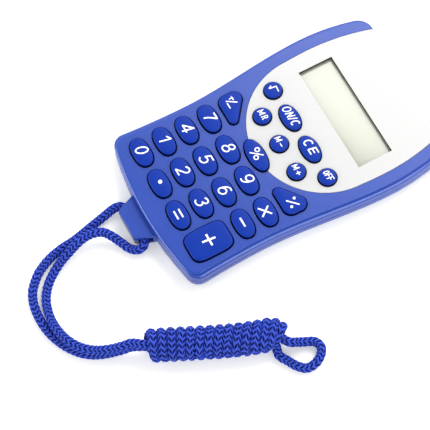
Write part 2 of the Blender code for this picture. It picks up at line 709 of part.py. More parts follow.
def make_rear_cover():
    blue = finish("case plastic", BLUE, 0.4)
    rings = []
    for turn in (90.0, 60.0, 30.0, 0.0):
        inward = BELLY_ROUND * (1 - math.cos(math.radians(turn)))
        z = BELLY_ROUND * (1 - math.sin(math.radians(turn)))
        rings.append(case_ring(inward, inward, inward, z))
    rings.append(case_ring(0.0, 0.0, 0.0, PARTING_HEIGHT - GAP / 2))
    rear = add_piece("rear_cover", loft("rear_cover", rings), blue)
    inner = SIDE_WALL
    low = SIDE_WALL + BELLY_ROUND * 0.4
    cavity = loft("lower_cavity", [
        case_ring(low, low, low, FLOOR_WALL),
        case_ring(inner, inner, inner, FLOOR_WALL + BELLY_ROUND * 0.5),
        case_ring(inner, inner, inner, CASE_THICKNESS),
    ])
    combine(rear, add_cutter("lower_cavity", cavity), "DIFFERENCE")
    lug = lug_half("lug_lower", LUG_BOTTOM, PARTING_HEIGHT - GAP / 2, LUG_DRAFT, 0.0)
    combine(rear, add_cutter("lug_lower", lug), "UNION")

    cell_place = (0.0, CELL_Y)
    join_low = FLOOR_WALL / 2
    cup = post("cell_cup", CUP_RADIUS, cell_place, join_low, cell_bottom() + CELL_THICKNESS, 32)
    posts = [add_cutter("cell_cup", cup)]
    holes = []
    for index, (_, x, y) in enumerate(case_screw_places()):
        label = "standoff_%d" % (index + 1)
        standoff = post(label, STANDOFF_RADIUS, (x, y), join_low, PARTING_HEIGHT - GAP / 2)
        posts.append(add_cutter(label, standoff))
        bore = post(label + "_bore", CASE_SCREW_RADIUS + GAP, (x, y), -CUT_MARGIN, THROUGH, 12)
        holes.append(add_cutter(label + "_bore", bore))
        sink_top = SCREW_RECESS + CASE_SCREW_HEAD + GAP
        sink = post(label + "_sink", CASE_SCREW_HEAD_RADIUS + GAP, (x, y), -CUT_MARGIN, sink_top)
        holes.append(add_cutter(label + "_sink", sink))
    combine_group(rear, "rear_posts", posts, "UNION")
    holes.append(add_cutter("lug_tunnel_lower", lug_tunnel("lug_tunnel_lower")))
    combine_group(rear, "rear_holes", holes, "DIFFERENCE")
    groove_low, groove_high = bayonet_levels()
    groove_radius = CELL_RADIUS + CAP_LUG_REACH + GAP
    seat_top = cap_inner_face() + GAP
    for label, radius, low, high in (
        ("cell_bore", CELL_RADIUS + CELL_CLEARANCE, -CUT_MARGIN, THROUGH),
        ("cap_seat", CAP_RADIUS + GAP, -CUT_MARGIN, seat_top),
        ("bayonet_groove", groove_radius, groove_low - GAP, groove_high + GAP),
    ):
        combine(rear, add_cutter(label, post(label, radius, cell_place, low, high, 32)), "DIFFERENCE")
    entries = bayonet_bars("bayonet_entry", groove_radius, CAP_LUG_WIDTH / 2 + GAP, -CUT_MARGIN,
                           groove_high, math.radians(CAP_UNLOCK_DEGREES))
    entries.location = (0.0, CELL_Y, 0.0)
    combine(rear, entries, "DIFFERENCE")
    notch = slab("contact_notch", (-NOTCH_HALF_WIDTH, CELL_Y - CUP_RADIUS - CUT_MARGIN, notch_floor()),
                 (NOTCH_HALF_WIDTH, CELL_Y - CELL_RADIUS * 0.6, THROUGH))
    combine(rear, add_cutter("contact_notch", notch), "DIFFERENCE")


def cap_inner_face():
    """The height of the battery cap's inner face."""
    return CAP_RECESS + CAP_THICKNESS


def bayonet_levels():
    """The height span of the battery cap's lugs, above the ledge that holds them."""
    low = cap_inner_face() + 3 * GAP
    return low, low + CAP_LUG_THICKNESS


def cell_bottom():
    """The cell rests this high, just over the cap's ring."""
    return bayonet_levels()[1] + GAP


def notch_floor():
    """The height the contacts' notch in the cell's cup starts from, just over the bayonet groove."""
    return bayonet_levels()[1] + 2 * GAP


def bayonet_bars(name, radius, half_thickness, low, high, turn):
    """A bar through the middle, turned by an angle: both lugs, or both entry slots, at once."""
    bar = slab(name, (-radius, -half_thickness, low), (radius, half_thickness, high))
    tool = add_cutter(name, bar)
    tool.rotation_euler = (0.0, 0.0, turn)
    return tool


def make_battery_cap():
    """A round cap with a coin slot outside and two bayonet lugs inside."""
    blue = finish("case plastic", BLUE, 0.4)
    low, high = bayonet_levels()
    middle = (0.0, 0.0)
    inner_face = cap_inner_face()
    disc = post("battery_cap", CAP_RADIUS, middle, CAP_RECESS, inner_face, 32)
    cap = add_piece("battery_cap", disc, blue, (0.0, CELL_Y, 0.0))
    ring_radius = CELL_RADIUS - 0.0001
    ring = post("cap_ring", ring_radius, middle, inner_face - JOIN_OVERLAP, high, 32)
    lugs = bayonet_bars("cap_lugs", CELL_RADIUS + CAP_LUG_REACH, CAP_LUG_WIDTH / 2, low, high, 0.0)
    hollow = post("cap_hollow", ring_radius - CAP_RING_WALL, middle, inner_face, THROUGH, 24)
    half_length, half_width_of_slot = COIN_SLOT[0] / 2, COIN_SLOT[1] / 2
    coin = slab("coin_slot", (-half_length, -half_width_of_slot, -CUT_MARGIN),
                (half_length, half_width_of_slot, CAP_RECESS + COIN_SLOT[2]))
    for tool, operation in (
        (add_cutter("cap_ring", ring), "UNION"),
        (lugs, "UNION"),
        (add_cutter("cap_hollow", hollow), "DIFFERENCE"),
        (add_cutter("coin_slot", coin), "DIFFERENCE"),
    ):
        tool.location = (0.0, CELL_Y, 0.0)
        combine(cap, tool, operation)


# ------------------------------------------------------------------ fasteners
def screw_mesh(name, head_radius, head_height, shank_radius, length):
    """A pan-head screw standing on its head: head, shank and a blunt point."""
    levels = [
        (head_radius * 0.8, 0.0),
        (head_radius, head_height * 0.35),
        (head_radius, head_height),
        (shank_radius, head_height),
        (shank_radius, length - shank_radius),
        (shank_radius * 0.4, length),
    ]
    rings = []
    for radius, z in levels:
        rings.append([(x, y, z) for x, y in circle(radius, 12)])
    mesh = loft(name, rings)
    shade_round(mesh)
    return mesh


def make_screws():
    steel = finish("screw steel", STEEL, 0.3, 1.0)
    for index, (_, x, y) in enumerate(case_screw_places()):
        name = "case_screw_%d" % (index + 1)
        length = SCREW_END - SCREW_RECESS
        mesh = screw_mesh(name, CASE_SCREW_HEAD_RADIUS, CASE_SCREW_HEAD, CASE_SCREW_RADIUS, length)
        add_piece(name, mesh, steel, (x, y, SCREW_RECESS))
    head_low = BOARD_UNDERSIDE - GAP - BOARD_SCREW_HEAD
    for index, (_, x, y) in enumerate(board_screw_places()):
        name = "board_screw_%d" % (index + 1)
        length = SCREW_END - head_low
        mesh = screw_mesh(name, BOARD_SCREW_HEAD_RADIUS, BOARD_SCREW_HEAD, BOARD_SCREW_RADIUS, length)
        add_piece(name, mesh, steel, (x, y, head_low))


# ------------------------------------------------------------------ the display's pieces
def make_display():
    """The LCD under the window: a gasket, two panes of glass and the strip that feeds them."""
    half_x = WINDOW_WIDTH / 2
    half_y = WINDOW_HEIGHT / 2
    outer_x = half_x + GASKET_WIDTH
    outer_y = half_y + GASKET_WIDTH
    place = (0.0, WINDOW_Y, 0.0)
    frame = slab("lcd_gasket", (-outer_x, -outer_y, GLASS_TOP + GAP),
                 (outer_x, outer_y, FACE_Z - WINDOW_LIP - GAP))
    gasket = add_piece("lcd_gasket", frame, finish("gasket rubber", BLACK, 0.8), place)
    open_x = half_x + GASKET_SETBACK
    open_y = half_y + GASKET_SETBACK
    opening = slab("gasket_opening", (-open_x, -open_y, 0.0), (open_x, open_y, THROUGH))
    tool = add_cutter("gasket_opening", opening)
    tool.location = place
    combine(gasket, tool, "DIFFERENCE")

    glass = finish("lcd glass", LCD_GREY, 0.1)
    reach_x = outer_x + 0.0004
    bottom = WINDOW_Y - outer_y
    top = WINDOW_Y + outer_y - 0.0002
    front_low = GLASS_TOP - GLASS_THICKNESS
    front_glass = slab("lcd_front_glass", (-reach_x, bottom - GLASS_LEDGE, front_low),
                       (reach_x, top, GLASS_TOP))
    add_piece("lcd_front_glass", front_glass, glass)
    rear_high = front_low - GAP
    rear_glass = slab("lcd_rear_glass", (-reach_x, bottom + GAP, rear_high - REAR_GLASS_THICKNESS),
                      (reach_x, top - 0.0008, rear_high))
    add_piece("lcd_rear_glass", rear_glass, glass)
    strip_low = bottom - GLASS_LEDGE + 0.0002
    strip = slab("lcd_connector_strip", (-half_x, strip_low, BOARD_TOP + GAP),
                 (half_x, strip_low + ZEBRA_DEPTH, rear_high))
    add_piece("lcd_connector_strip", strip, finish("connector rubber", RUBBER_GREY, 0.7))


# ------------------------------------------------------------------ the circuit board and the keypad
def board_outline(inset, top_y):
    """The board's plan: wide under the number keys, narrower beside the middle screws."""
    wide = WAIST_WIDTH / 2 - SIDE_WALL - BOARD_MARGIN - inset
    foot_screw = case_screw_places()[0]
    screw = case_screw_places()[3]
    narrow = screw[1] - STANDOFF_RADIUS - BOARD_MARGIN - inset
    step_y = screw[2] - STANDOFF_RADIUS - BOARD_MARGIN - inset
    low = foot_screw[2] + STANDOFF_RADIUS + GAP + inset
    return [(-wide, low), (wide, low), (wide, step_y), (narrow, step_y + 0.001), (narrow, top_y),
            (-narrow, top_y), (-narrow, step_y + 0.001), (-wide, step_y)]


def make_board_and_keypad(keys):
    """The board, the keypad over it and the parts soldered under it."""
    plan = board_outline(0.0, CELL_Y - CUP_RADIUS - 0.0005)
    board = add_piece("circuit_board", prism("circuit_board", plan, BOARD_UNDERSIDE, BOARD_TOP),
                      finish("board laminate", BOARD_GREEN, 0.5))
    membrane_top_y = board_screw_places()[3][2] - BOARD_BOSS_RADIUS - GAP
    sheet_low = BOARD_TOP + GAP
    sheet_high = sheet_low + MEMBRANE_SHEET
    plan = board_outline(0.0005, membrane_top_y)
    sheet = add_piece("keypad_membrane", prism("keypad_membrane", plan, sheet_low, sheet_high),
                      finish("keypad rubber", RUBBER_GREY, 0.75))
    pads = []
    pad_low = sheet_low + MEMBRANE_SHEET / 4
    for name, place, _ in keys:
        label = name + "_pad"
        pads.append(add_cutter(label, post(label, MEMBRANE_PAD_RADIUS, place, pad_low, PAD_TOP, 10)))
    combine_group(sheet, "pads", pads, "UNION")
    board_holes = []
    sheet_holes = []
    for index, (_, x, y) in enumerate(board_screw_places()):
        label = "board_hole_%d" % (index + 1)
        hole = post(label, BOARD_SCREW_RADIUS + GAP, (x, y), 0.0, THROUGH, 8)
        board_holes.append(add_cutter(label, hole))
        if y < membrane_top_y:
            label = "sheet_hole_%d" % (index + 1)
            hole = post(label, BOARD_BOSS_RADIUS + GAP, (x, y), 0.0, THROUGH, 10)
            sheet_holes.append(add_cutter(label, hole))
    combine_group(board, "board_holes", board_holes, "DIFFERENCE")
    combine_group(sheet, "sheet_holes", sheet_holes, "DIFFERENCE")

    top = BOARD_UNDERSIDE - GAP
    rings = []
    for depth, share in CHIP_LEVELS:
        rings.append([(x, y, top - depth) for x, y in circle(CHIP_RADIUS * share, 16)])
    blob = loft("controller_chip", rings)
    shade_round(blob, 60.0)
    chip_y = FIRST_ROW_Y + 4.2 * ROW_PITCH
    add_piece("controller_chip", blob, finish("chip resin", BLACK, 0.45), (0.0, chip_y, 0.0))
    half_x, half_y = CAPACITOR[0] / 2, CAPACITOR[1] / 2
    block = slab("capacitor", (-half_x, -half_y, top - CAPACITOR[2]), (half_x, half_y, top))
    add_piece("capacitor", block, finish("capacitor ceramic", CERAMIC, 0.5),
              (2.2 * CHIP_RADIUS, chip_y, 0.0))


# ------------------------------------------------------------------ the cell and its contacts
def bent_strip(name, points, material):
    """A leaf of sheet metal that follows (x, y, z) points, CONTACT_WIDTH wide along X."""
    shape = bmesh.new()
    half = CONTACT_WIDTH / 2
    rows = []
    for x, y, z in points:
        rows.append((shape.verts.new((x - half, y, z)), shape.verts.new((x + half, y, z))))
    for first, second in zip(rows, rows[1:]):
        shape.faces.new((first[0], first[1], second[1], second[0]))
    mesh = bpy.data.meshes.new(name)
    shape.to_mesh(mesh)
    shape.free()
    piece = add_piece(name, mesh, material)
    wall = piece.modifiers.new("thickness", "SOLIDIFY")
    wall.thickness = CONTACT_THICKNESS
    wall.offset = 0.0
    wall.use_even_offset = True
    return piece


def make_cell():
    """The button cell in its cup, with a leaf of brass on its side and one on its top."""
    half = CELL_THICKNESS / 2
    soft = 0.0003
    levels = (
        (CELL_RADIUS - 2 * soft, -half),
        (CELL_RADIUS - soft, -half + 0.0002),
        (CELL_RADIUS, -half + 0.0007),
        (CELL_RADIUS, half - soft),
        (CELL_RADIUS - soft, half),
    )
    rings = []
    for radius, z in levels:
        rings.append([(x, y, z) for x, y in circle(radius, 32)])
    mesh = loft("button_cell", rings)
    shade_round(mesh)
    steel = finish("cell steel", STEEL, 0.25, 1.0)
    add_piece("button_cell", mesh, steel, (0.0, CELL_Y, cell_bottom() + half))

    brass = finish("contact brass", BRASS, 0.3, 1.0)
    solder_z = BOARD_UNDERSIDE - GAP - CONTACT_THICKNESS / 2
    solder_y = CELL_Y - CUP_RADIUS - CONTACT_LEAD
    top_z = cell_bottom() + CELL_THICKNESS + GAP + CONTACT_THICKNESS / 2
    wall_y = CELL_Y - CELL_RADIUS - CUP_WALL / 2
    bent_strip("battery_contact_top", [
        (CONTACT_OFFSET, solder_y, solder_z),
        (CONTACT_OFFSET, wall_y, solder_z),
        (CONTACT_OFFSET, wall_y, top_z),
        (CONTACT_OFFSET, CELL_Y + 0.0020, top_z),
    ], brass)
    side_y = CELL_Y - CELL_RADIUS - GAP - CONTACT_THICKNESS / 2
    bent_strip("battery_contact_side", [
        (-CONTACT_OFFSET, solder_y, solder_z),
        (-CONTACT_OFFSET, side_y, solder_z),
        (-CONTACT_OFFSET, side_y, notch_floor() + GAP),
    ], brass)


# ------------------------------------------------------------------ the cord
def smooth_route(points, spacing):
    """Points at an even spacing along a smooth curve through the given ones, which start at the lug."""
    lug_end = Vector((0.0, LUG_TIP_Y, 0.0))
    knots = [lug_end + Vector(point) for point in points]
    padded = [2 * knots[0] - knots[1]] + knots + [2 * knots[-1] - knots[-2]]
    fine = []
    for index in range(1, len(padded) - 2):
        before, start, end, after = padded[index - 1:index + 3]
        for step in range(12):
            t = step / 12
            fine.append(0.5 * (2 * start + (end - before) * t
                               + (2 * before - 5 * start + 4 * end - after) * t ** 2
                               + (3 * start - 3 * end + after - before) * t ** 3))
    fine.append(knots[-1])
    lengths = [0.0]
    for first, second in zip(fine, fine[1:]):
        lengths.append(lengths[-1] + (second - first).length)
    count = max(2, round(lengths[-1] / spacing))
    even = []
    place = 0
    for index in range(count + 1):
        target = lengths[-1] * index / count
        while place < len(lengths) - 2 and lengths[place + 1] < target:
            place += 1
        share = (target - lengths[place]) / (lengths[place + 1] - lengths[place])
        even.append(fine[place].lerp(fine[place + 1], share))
    return even


def cord_tube(name, route):
    curve = bpy.data.curves.new(name, "CURVE")
    curve.dimensions = "3D"
    curve.bevel_depth = CORD_DIAMETER / 2
    curve.bevel_resolution = 2
    curve.use_fill_caps = True
    points = smooth_route(route, TUBE_SPACING)
    spline = curve.splines.new("POLY")
    spline.points.add(len(points) - 1)
    for knot, point in zip(spline.points, points):
        knot.co = (*point, 1.0)
    return add_piece(name, curve, finish("cord yarn", CORD_BLUE, 0.8))


def make_hank():
    """The wound part of the cord: a flattened round body along a slightly bent axis."""
    axis = smooth_route([(x, y, HANK_HALF_HEIGHT) for x, y in HANK_AXIS], 0.0058)
    shares = [0.86] + [1.0] * (len(axis) - 3) + [0.86, 0.60]
    rings = []
    for index, (centre, share) in enumerate(zip(axis, shares)):
        ahead = axis[min(index + 1, len(axis) - 1)] - axis[max(index - 1, 0)]
        across = Vector((ahead.y, -ahead.x, 0.0)).normalized()
        ring = []
        for x, z in circle(1.0, 20):
            point = centre + across * (x * HANK_HALF_WIDTH * share)
            ring.append((point.x, point.y, point.z + z * HANK_HALF_HEIGHT * share))
        rings.append(ring)
    mesh = loft("cord_hank", rings)
    shade_round(mesh, 60.0)
    add_piece("cord_hank", mesh, finish("cord yarn", CORD_BLUE, 0.8))


def make_cord():
    cord_tube("cord_strand_left", LEFT_STRAND)
    cord_tube("cord_strand_right", RIGHT_STRAND)
    cord_tube("cord_end_loop", END_LOOP)
    make_hank()


def main():
    clear_scene()
    keys = key_layout()
    make_upper_covers(keys)
    make_rear_cover()
    make_battery_cap()
    make_keys(keys)
    make_screws()
    make_display()
    make_board_and_keypad(keys)
    make_cell()
    make_cord()


main()
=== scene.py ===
"""The looks of a pocket calculator on a knitted neck cord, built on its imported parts.

All sizes are in metres, in the parts' own frame: +X to the right across the keys, +Y from the
keys towards the display and +Z up out of the keys. The case lies on the surface at Z = 0.
"""

import math

import bmesh
import bpy
import numpy as np
from bpy.props import FloatProperty, FloatVectorProperty, IntProperty, PointerProperty
from bpy.types import Operator, Panel, PropertyGroup
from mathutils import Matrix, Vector


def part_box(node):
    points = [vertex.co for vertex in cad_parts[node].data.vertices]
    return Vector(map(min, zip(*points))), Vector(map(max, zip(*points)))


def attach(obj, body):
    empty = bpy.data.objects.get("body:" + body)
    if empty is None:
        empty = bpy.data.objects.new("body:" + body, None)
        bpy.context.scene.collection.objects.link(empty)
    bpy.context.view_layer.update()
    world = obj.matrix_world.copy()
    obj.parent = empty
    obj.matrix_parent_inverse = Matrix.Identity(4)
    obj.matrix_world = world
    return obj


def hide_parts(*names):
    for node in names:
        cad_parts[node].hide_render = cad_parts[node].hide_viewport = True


bl_info = {
    "name": "Pocket Calculator Looks",
    "version": (1, 0, 0),
    "blender": (4, 5, 0),
    "location": "View3D > Sidebar > Calculator",
    "description": "Builds the visible pieces, finishes and stage of a pocket calculator",
    "category": "Object",
}

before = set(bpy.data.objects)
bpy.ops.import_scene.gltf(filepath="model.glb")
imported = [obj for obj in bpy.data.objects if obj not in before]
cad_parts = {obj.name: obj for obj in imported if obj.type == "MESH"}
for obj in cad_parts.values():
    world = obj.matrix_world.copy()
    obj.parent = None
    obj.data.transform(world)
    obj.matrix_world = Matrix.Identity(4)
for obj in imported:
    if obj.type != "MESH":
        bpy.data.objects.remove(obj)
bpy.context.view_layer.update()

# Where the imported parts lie.
FACE_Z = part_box("front_cover")[1].z
LUG_TIP_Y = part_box("rear_cover")[0].y
HEAD_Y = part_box("rear_cover")[1].y
KEY_TOP_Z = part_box("key_5")[1].z
FLANGE_LOW_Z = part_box("key_5")[0].z
GASKET_LOW, GASKET_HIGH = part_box("lcd_gasket")


def middle(node):
    """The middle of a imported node's box."""
    low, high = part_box(node)
    return (low + high) / 2


WINDOW_Y = middle("lcd_gasket").y

# The covers and the lug.
WALL = 0.0014                # thickness of the covers' walls
CEILING_Z = FACE_Z - 0.0012  # the underside of the face
EDGE_BREAK = 0.00012         # bevel where the covers meet
PANEL_ROUND = 0.00008        # rounding of the panel's and its opening's edges
LUG_TOP_Z = 0.0070
LUG_ROOT_WIDTH = 0.0195
LUG_TIP_WIDTH = 0.0142
LUG_CORNER = 0.0008
LUG_IN_CASE = 0.0008         # how far the lug's root reaches into the case
CUT_BEYOND = 0.001           # how far a cutter reaches past what it cuts
FLOOR_GAP = 0.00002          # keeps the floor just clear of what lies on it

# The cord's knit, and how its hank is wound, with places along the hank from its left end.
YARN_PROUD = 0.00004         # how far the stitches' crowns stand past the cord's thickness
KNIT_DEPTH = 0.00058         # how deep the gaps between the stitches are
UNEVEN_ROWS = 0.10           # how far rows stray, in stitches
HANK_HALF_WIDTH = 0.0066
HANK_HALF_HEIGHT = 0.0062
FIRST_WRAP = 0.0059
WRAPS_IN_VIEW = 13
WRAP_START = math.radians(235.0)
WRAP_TOP = math.radians(450.0)
ADVANCE_UNDERNEATH = 0.85    # the share of each turn's advance that is made underneath
CORE_PLACES = (0.005, 0.012, 0.020, 0.028, 0.036, 0.043)

# The cord's places, from the middle of the lug's outer end on the surface the case lies on.
LEFT_STRAND = [
    (-0.00015, 0.00395, 0.00365), (-0.0035, 0.00395, 0.00365), (-0.0070, 0.00365, 0.0036),
    (-0.0093, 0.00185, 0.0034), (-0.0097, -0.00115, 0.0029), (-0.0089, -0.00565, 0.0022),
    (-0.0080, -0.01015, 0.0019), (-0.0069, -0.01465, 0.0019), (-0.0057, -0.02005, 0.0019),
    (-0.0050, -0.02595, 0.0019), (-0.0034, -0.03195, 0.0019), (-0.0009, -0.03705, 0.0019),
    (0.0022, -0.04075, 0.0019), (0.0057, -0.04355, 0.0019), (0.0106, -0.04535, 0.0019),
    (0.0159, -0.04595, 0.0019), (0.0211, -0.04565, 0.0019), (0.0258, -0.04455, 0.0019),
    (0.0308, -0.04235, 0.0019), (0.0352, -0.03925, 0.0019), (0.0383, -0.03565, 0.0019),
    (0.0404, -0.03165, 0.0020), (0.0419, -0.02735, 0.0024), (0.0431, -0.02345, 0.0034),
    (0.0441, -0.02045, 0.0045),
]
RIGHT_STRAND = [
    (0.00015, 0.00395, 0.00365), (0.0035, 0.00395, 0.00365), (0.0070, 0.00385, 0.00365),
    (0.0095, 0.00255, 0.0036), (0.0099, -0.00025, 0.0029), (0.0076, -0.00275, 0.0022),
    (0.0043, -0.00445, 0.0027), (0.0009, -0.00635, 0.0038), (-0.0020, -0.00885, 0.0050),
    (-0.0033, -0.01235, 0.0057), (-0.0035, -0.01635, 0.0057), (-0.0026, -0.02025, 0.0053),
    (-0.0013, -0.02435, 0.0043), (0.0000, -0.02845, 0.0030), (0.0020, -0.03225, 0.0021),
    (0.0049, -0.03605, 0.0019), (0.0083, -0.03895, 0.0019), (0.0119, -0.04085, 0.0021),
    (0.0157, -0.04195, 0.0028), (0.0203, -0.04255, 0.0040), (0.0253, -0.04225, 0.0053),
    (0.0300, -0.04105, 0.0059), (0.0343, -0.03875, 0.0060), (0.0377, -0.03555, 0.0060),
    (0.0401, -0.03175, 0.0061), (0.0418, -0.02755, 0.0065), (0.0430, -0.02345, 0.0073),
    (0.0439, -0.02045, 0.0081),
]
END_LOOP = [
    (0.0701, 0.03145, 0.0040), (0.0716, 0.03455, 0.0026), (0.0729, 0.03775, 0.0019),
    (0.0746, 0.04085, 0.0019), (0.0775, 0.04175, 0.0019), (0.0803, 0.03985, 0.0019),
    (0.0821, 0.03635, 0.0019), (0.0820, 0.03275, 0.0019), (0.0795, 0.03005, 0.0019),
    (0.0760, 0.02805, 0.0019), (0.0727, 0.02635, 0.0019),
]
HANK_AXIS = [
    (0.0452, -0.01925, 0.0062), (0.0499, -0.00945, 0.0062), (0.0547, 0.00065, 0.0062),
    (0.0592, 0.01035, 0.0062), (0.0632, 0.02035, 0.0062), (0.0664, 0.03095, 0.0062),
]

# The keys: the outline of each one's hole, its size and the power of its rounding.
OVAL = ("oval", (0.0133, 0.0081), 2.35)
ROUND = ("oval", (0.0080, 0.0080), 2.0)
WIDE = ("oval", (0.0129, 0.0079), 2.1)
PERCENT = ("oval", (0.0156, 0.0078), 2.1)
PLUS = ("oval", (0.0134, 0.0182), 4.2)
TEARDROP = ("teardrop", 1, 0)
TEARDROP_MIRRORED = ("teardrop", -1, 0)
KEY_HOLES = {
    "key_plus": PLUS, "key_percent": PERCENT, "key_on_c": WIDE, "key_ce": WIDE,
    "key_mr": ROUND, "key_m_minus": ROUND, "key_m_plus": ROUND, "key_square_root": ROUND,
    "key_off": ROUND, "key_sign": TEARDROP, "key_divide": TEARDROP_MIRRORED,
}
KEY_NAMES = sorted(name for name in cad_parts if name.startswith("key_"))


def length(name, text, default):
    return FloatProperty(name=name, description=text, default=default, unit="LENGTH", precision=5)


def number(name, text, default, unit="NONE"):
    return FloatProperty(name=name, description=text, default=default, unit=unit)


def position(name, text, default):
    return FloatVectorProperty(name=name, description=text, default=default, subtype="TRANSLATION")


def colour(name, text, default):
    return FloatVectorProperty(name=name, description=text, default=default, subtype="COLOR",
                               min=0.0, max=1.0)


class StageSettings(PropertyGroup):
    camera_place: position("Camera place", "Where the camera stands", (0.2467, -0.16025, 0.6459))
    camera_aim: position("Camera aim", "The point the camera looks at", (0.0104, -0.0302, 0.0))
    lens: number("Lens", "Focal length of the camera", 150.7, "CAMERA")
    floor_colour: colour("Floor", "Colour of the floor", (0.97, 0.965, 0.90))
    floor_glow: number("Floor glow", "Light from under the paper", 0.26)
    sky_strength: number("Sides", "Strength of the light from all sides", 1.75)
    ceiling_strength: number("Ceiling", "Strength of the light overhead", 0.30)
    softbox_power: number("Softbox", "Power of the large soft light", 13.6, "POWER")
    softbox_place: position("Softbox place", "Where the softbox hangs", (-0.5125, 0.688, 1.0))
    softbox_turn: number("Softbox turn", "How far the softbox is turned", math.radians(24.3),
                         "ROTATION")
    card_power: number("Cards", "Power of the cards that light the edges", 6.0, "POWER")
    foot_card: position("Foot card place", "Where the foot card stands", (-0.28, -0.72, 0.26))
    side_card: position("Side card place", "Where the side card stands", (0.72, 0.18, 0.30))


class CaseSizes(PropertyGroup):
    waist_width: length("Waist", "Width at the narrowest place", 0.0658)
    widest_width: length("Widest", "Width at the display", 0.0738)
    foot_width: length("Foot", "Width at the keys' end", 0.0695)
    head_width: length("Head", "Width at the display's end", 0.0644)
    waist_from_foot: length("Waist place", "From the foot to the waist", 0.0353)
    widest_from_foot: length("Widest place", "From the foot to the widest place", 0.0903)
    foot_arc: length("Foot arc", "Radius of the foot's hollow line", 0.138)
    head_arc: length("Head arc", "Radius of the head's full line", 0.420)
    corner: length("Corner", "Reach of the rounded corners", 0.0042)
    parting_height: length("Parting line", "Height of the line between the covers", 0.0051)
    lug_length: length("Lug length", "How far the cord lug stands out", 0.0074)
    shoulder_width: length("Shoulder width", "Width of the rounded shoulder", 0.0017)
    shoulder_drop: length("Shoulder drop", "Height of the rounded shoulder", 0.0024)
    step_drop: length("Step", "Height of the small step round the face", 0.0005)
    panel_border: length("Panel border", "Width of the blue border beside the panel", 0.0064)
    gap: length("Gap", "Gap between pieces that meet", 0.0003)
    hole_round: length("Hole rounding", "Rounding at the edge of each key hole", 0.00012)
    blue: colour("Blue", "Colour of the case", (0.009, 0.050, 0.345))
    white: colour("White", "Colour of the display panel", (0.540, 0.540, 0.537))


class KeySizes(PropertyGroup):
    clearance: length("Clearance", "Gap round each key", 0.00045)
    edge_round: length("Edge rounding", "Rounding of each key's top edge", 0.0005)
    crown: length("Crown", "How far each key's top bulges", 0.00012)
    flange: length("Flange", "How far the flange reaches past the hole", 0.0005)
    flange_height: length("Flange height", "Thickness of the flange", 0.0007)
    blue: colour("Key blue", "Colour of the keys", (0.001, 0.028, 0.300))
    legend: colour("Legend", "Colour of the legends", (0.95, 0.95, 0.95))


class DisplaySizes(PropertyGroup):
    window_width: length("Window width", "Width of the window", 0.0468)
    window_height: length("Window height", "Height of the window", 0.0150)
    glass: colour("Glass", "Colour of the display behind its pane", (0.40, 0.420, 0.328))
    gasket: colour("Gasket", "Colour of the window's inner walls", (0.020, 0.014, 0.012))


class CordSizes(PropertyGroup):
    diameter: length("Diameter", "Thickness of the cord", 0.0037)
    stitch: length("Stitch", "Length of one knitted stitch", 0.00180)
    columns: IntProperty(name="Columns", description="Columns of stitches round the cord",
                         default=8)
    turns: number("Turns", "Turns of each of the hank's two wraps", 6.5)
    wrap_pitch: length("Wrap pitch", "Distance between neighbouring wraps", 0.00352)
    yarn: colour("Yarn", "Colour of the yarn", (0.024, 0.062, 0.500))
    # The hollow colour is painted shade: what the yarn darkens to deep between the stitches.
    hollow: colour("Hollow", "Colour deep between the stitches", (0.0002, 0.0006, 0.025))


# ---------------------------------------------------------------------------- shape helpers
def loft(name, rings):
    """A closed mesh through rings of equal count, each a list of points, with flat ends."""
    shape = bmesh.new()
    loops = [[shape.verts.new(point) for point in ring] for ring in rings]
    count = len(rings[0])
    for lower, upper in zip(loops, loops[1:]):
        for index in range(count):
            following = (index + 1) % count
            shape.faces.new((lower[index], lower[following], upper[following], upper[index]))
    shape.faces.new(list(reversed(loops[0])))
    shape.faces.new(loops[-1])
    bmesh.ops.recalc_face_normals(shape, faces=shape.faces)
    mesh = bpy.data.meshes.new(name)
    shape.to_mesh(mesh)
    shape.free()
    return mesh


def prism(name, outline, low, high):
    return loft(name, [[(x, y, z) for x, y in outline] for z in (low, high)])


def slab(name, low, high):
    outline = [(low[0], low[1]), (high[0], low[1]), (high[0], high[1]), (low[0], high[1])]
    return prism(name, outline, low[2], high[2])


def circle(radius, count, centre):
    turns = [2 * math.pi * index / count for index in range(count)]
    return [(centre[0] + radius * math.cos(t), centre[1] + radius * math.sin(t)) for t in turns]


def rounding(steps):
    """Even steps up a quarter circle, each the share drawn in and the share still to rise."""
    turns = [math.radians(90.0 * index / steps) for index in range(steps + 1)]
    return [(1 - math.cos(turn), 1 - math.sin(turn)) for turn in turns]


def carve(mesh, steps):
    """The mesh after each step joins, cuts or keeps what it shares with that step's meshes."""
    scene = bpy.context.scene
    body = bpy.data.objects.new("carved", mesh)
    scene.collection.objects.link(body)
    tools = []
    groups = []
    for operation, meshes in steps:
        group = bpy.data.collections.new(operation)
        scene.collection.children.link(group)
        groups.append(group)
        for tool_mesh in meshes:
            tool = bpy.data.objects.new("tool", tool_mesh)
            group.objects.link(tool)
            tools.append(tool)
        step = body.modifiers.new(operation, "BOOLEAN")
        step.operation = operation
        step.solver = "EXACT"
        step.operand_type = "COLLECTION"
        step.collection = group
    bpy.context.view_layer.update()
    seen = body.evaluated_get(bpy.context.evaluated_depsgraph_get())
    made = bpy.data.meshes.new_from_object(seen)
    made.name = mesh.name
    for item in [body] + tools:
        bpy.data.objects.remove(item)
    for group in groups:
        bpy.data.collections.remove(group)
    if not made.polygons:
        raise ValueError("nothing is left of " + made.name)
    return made


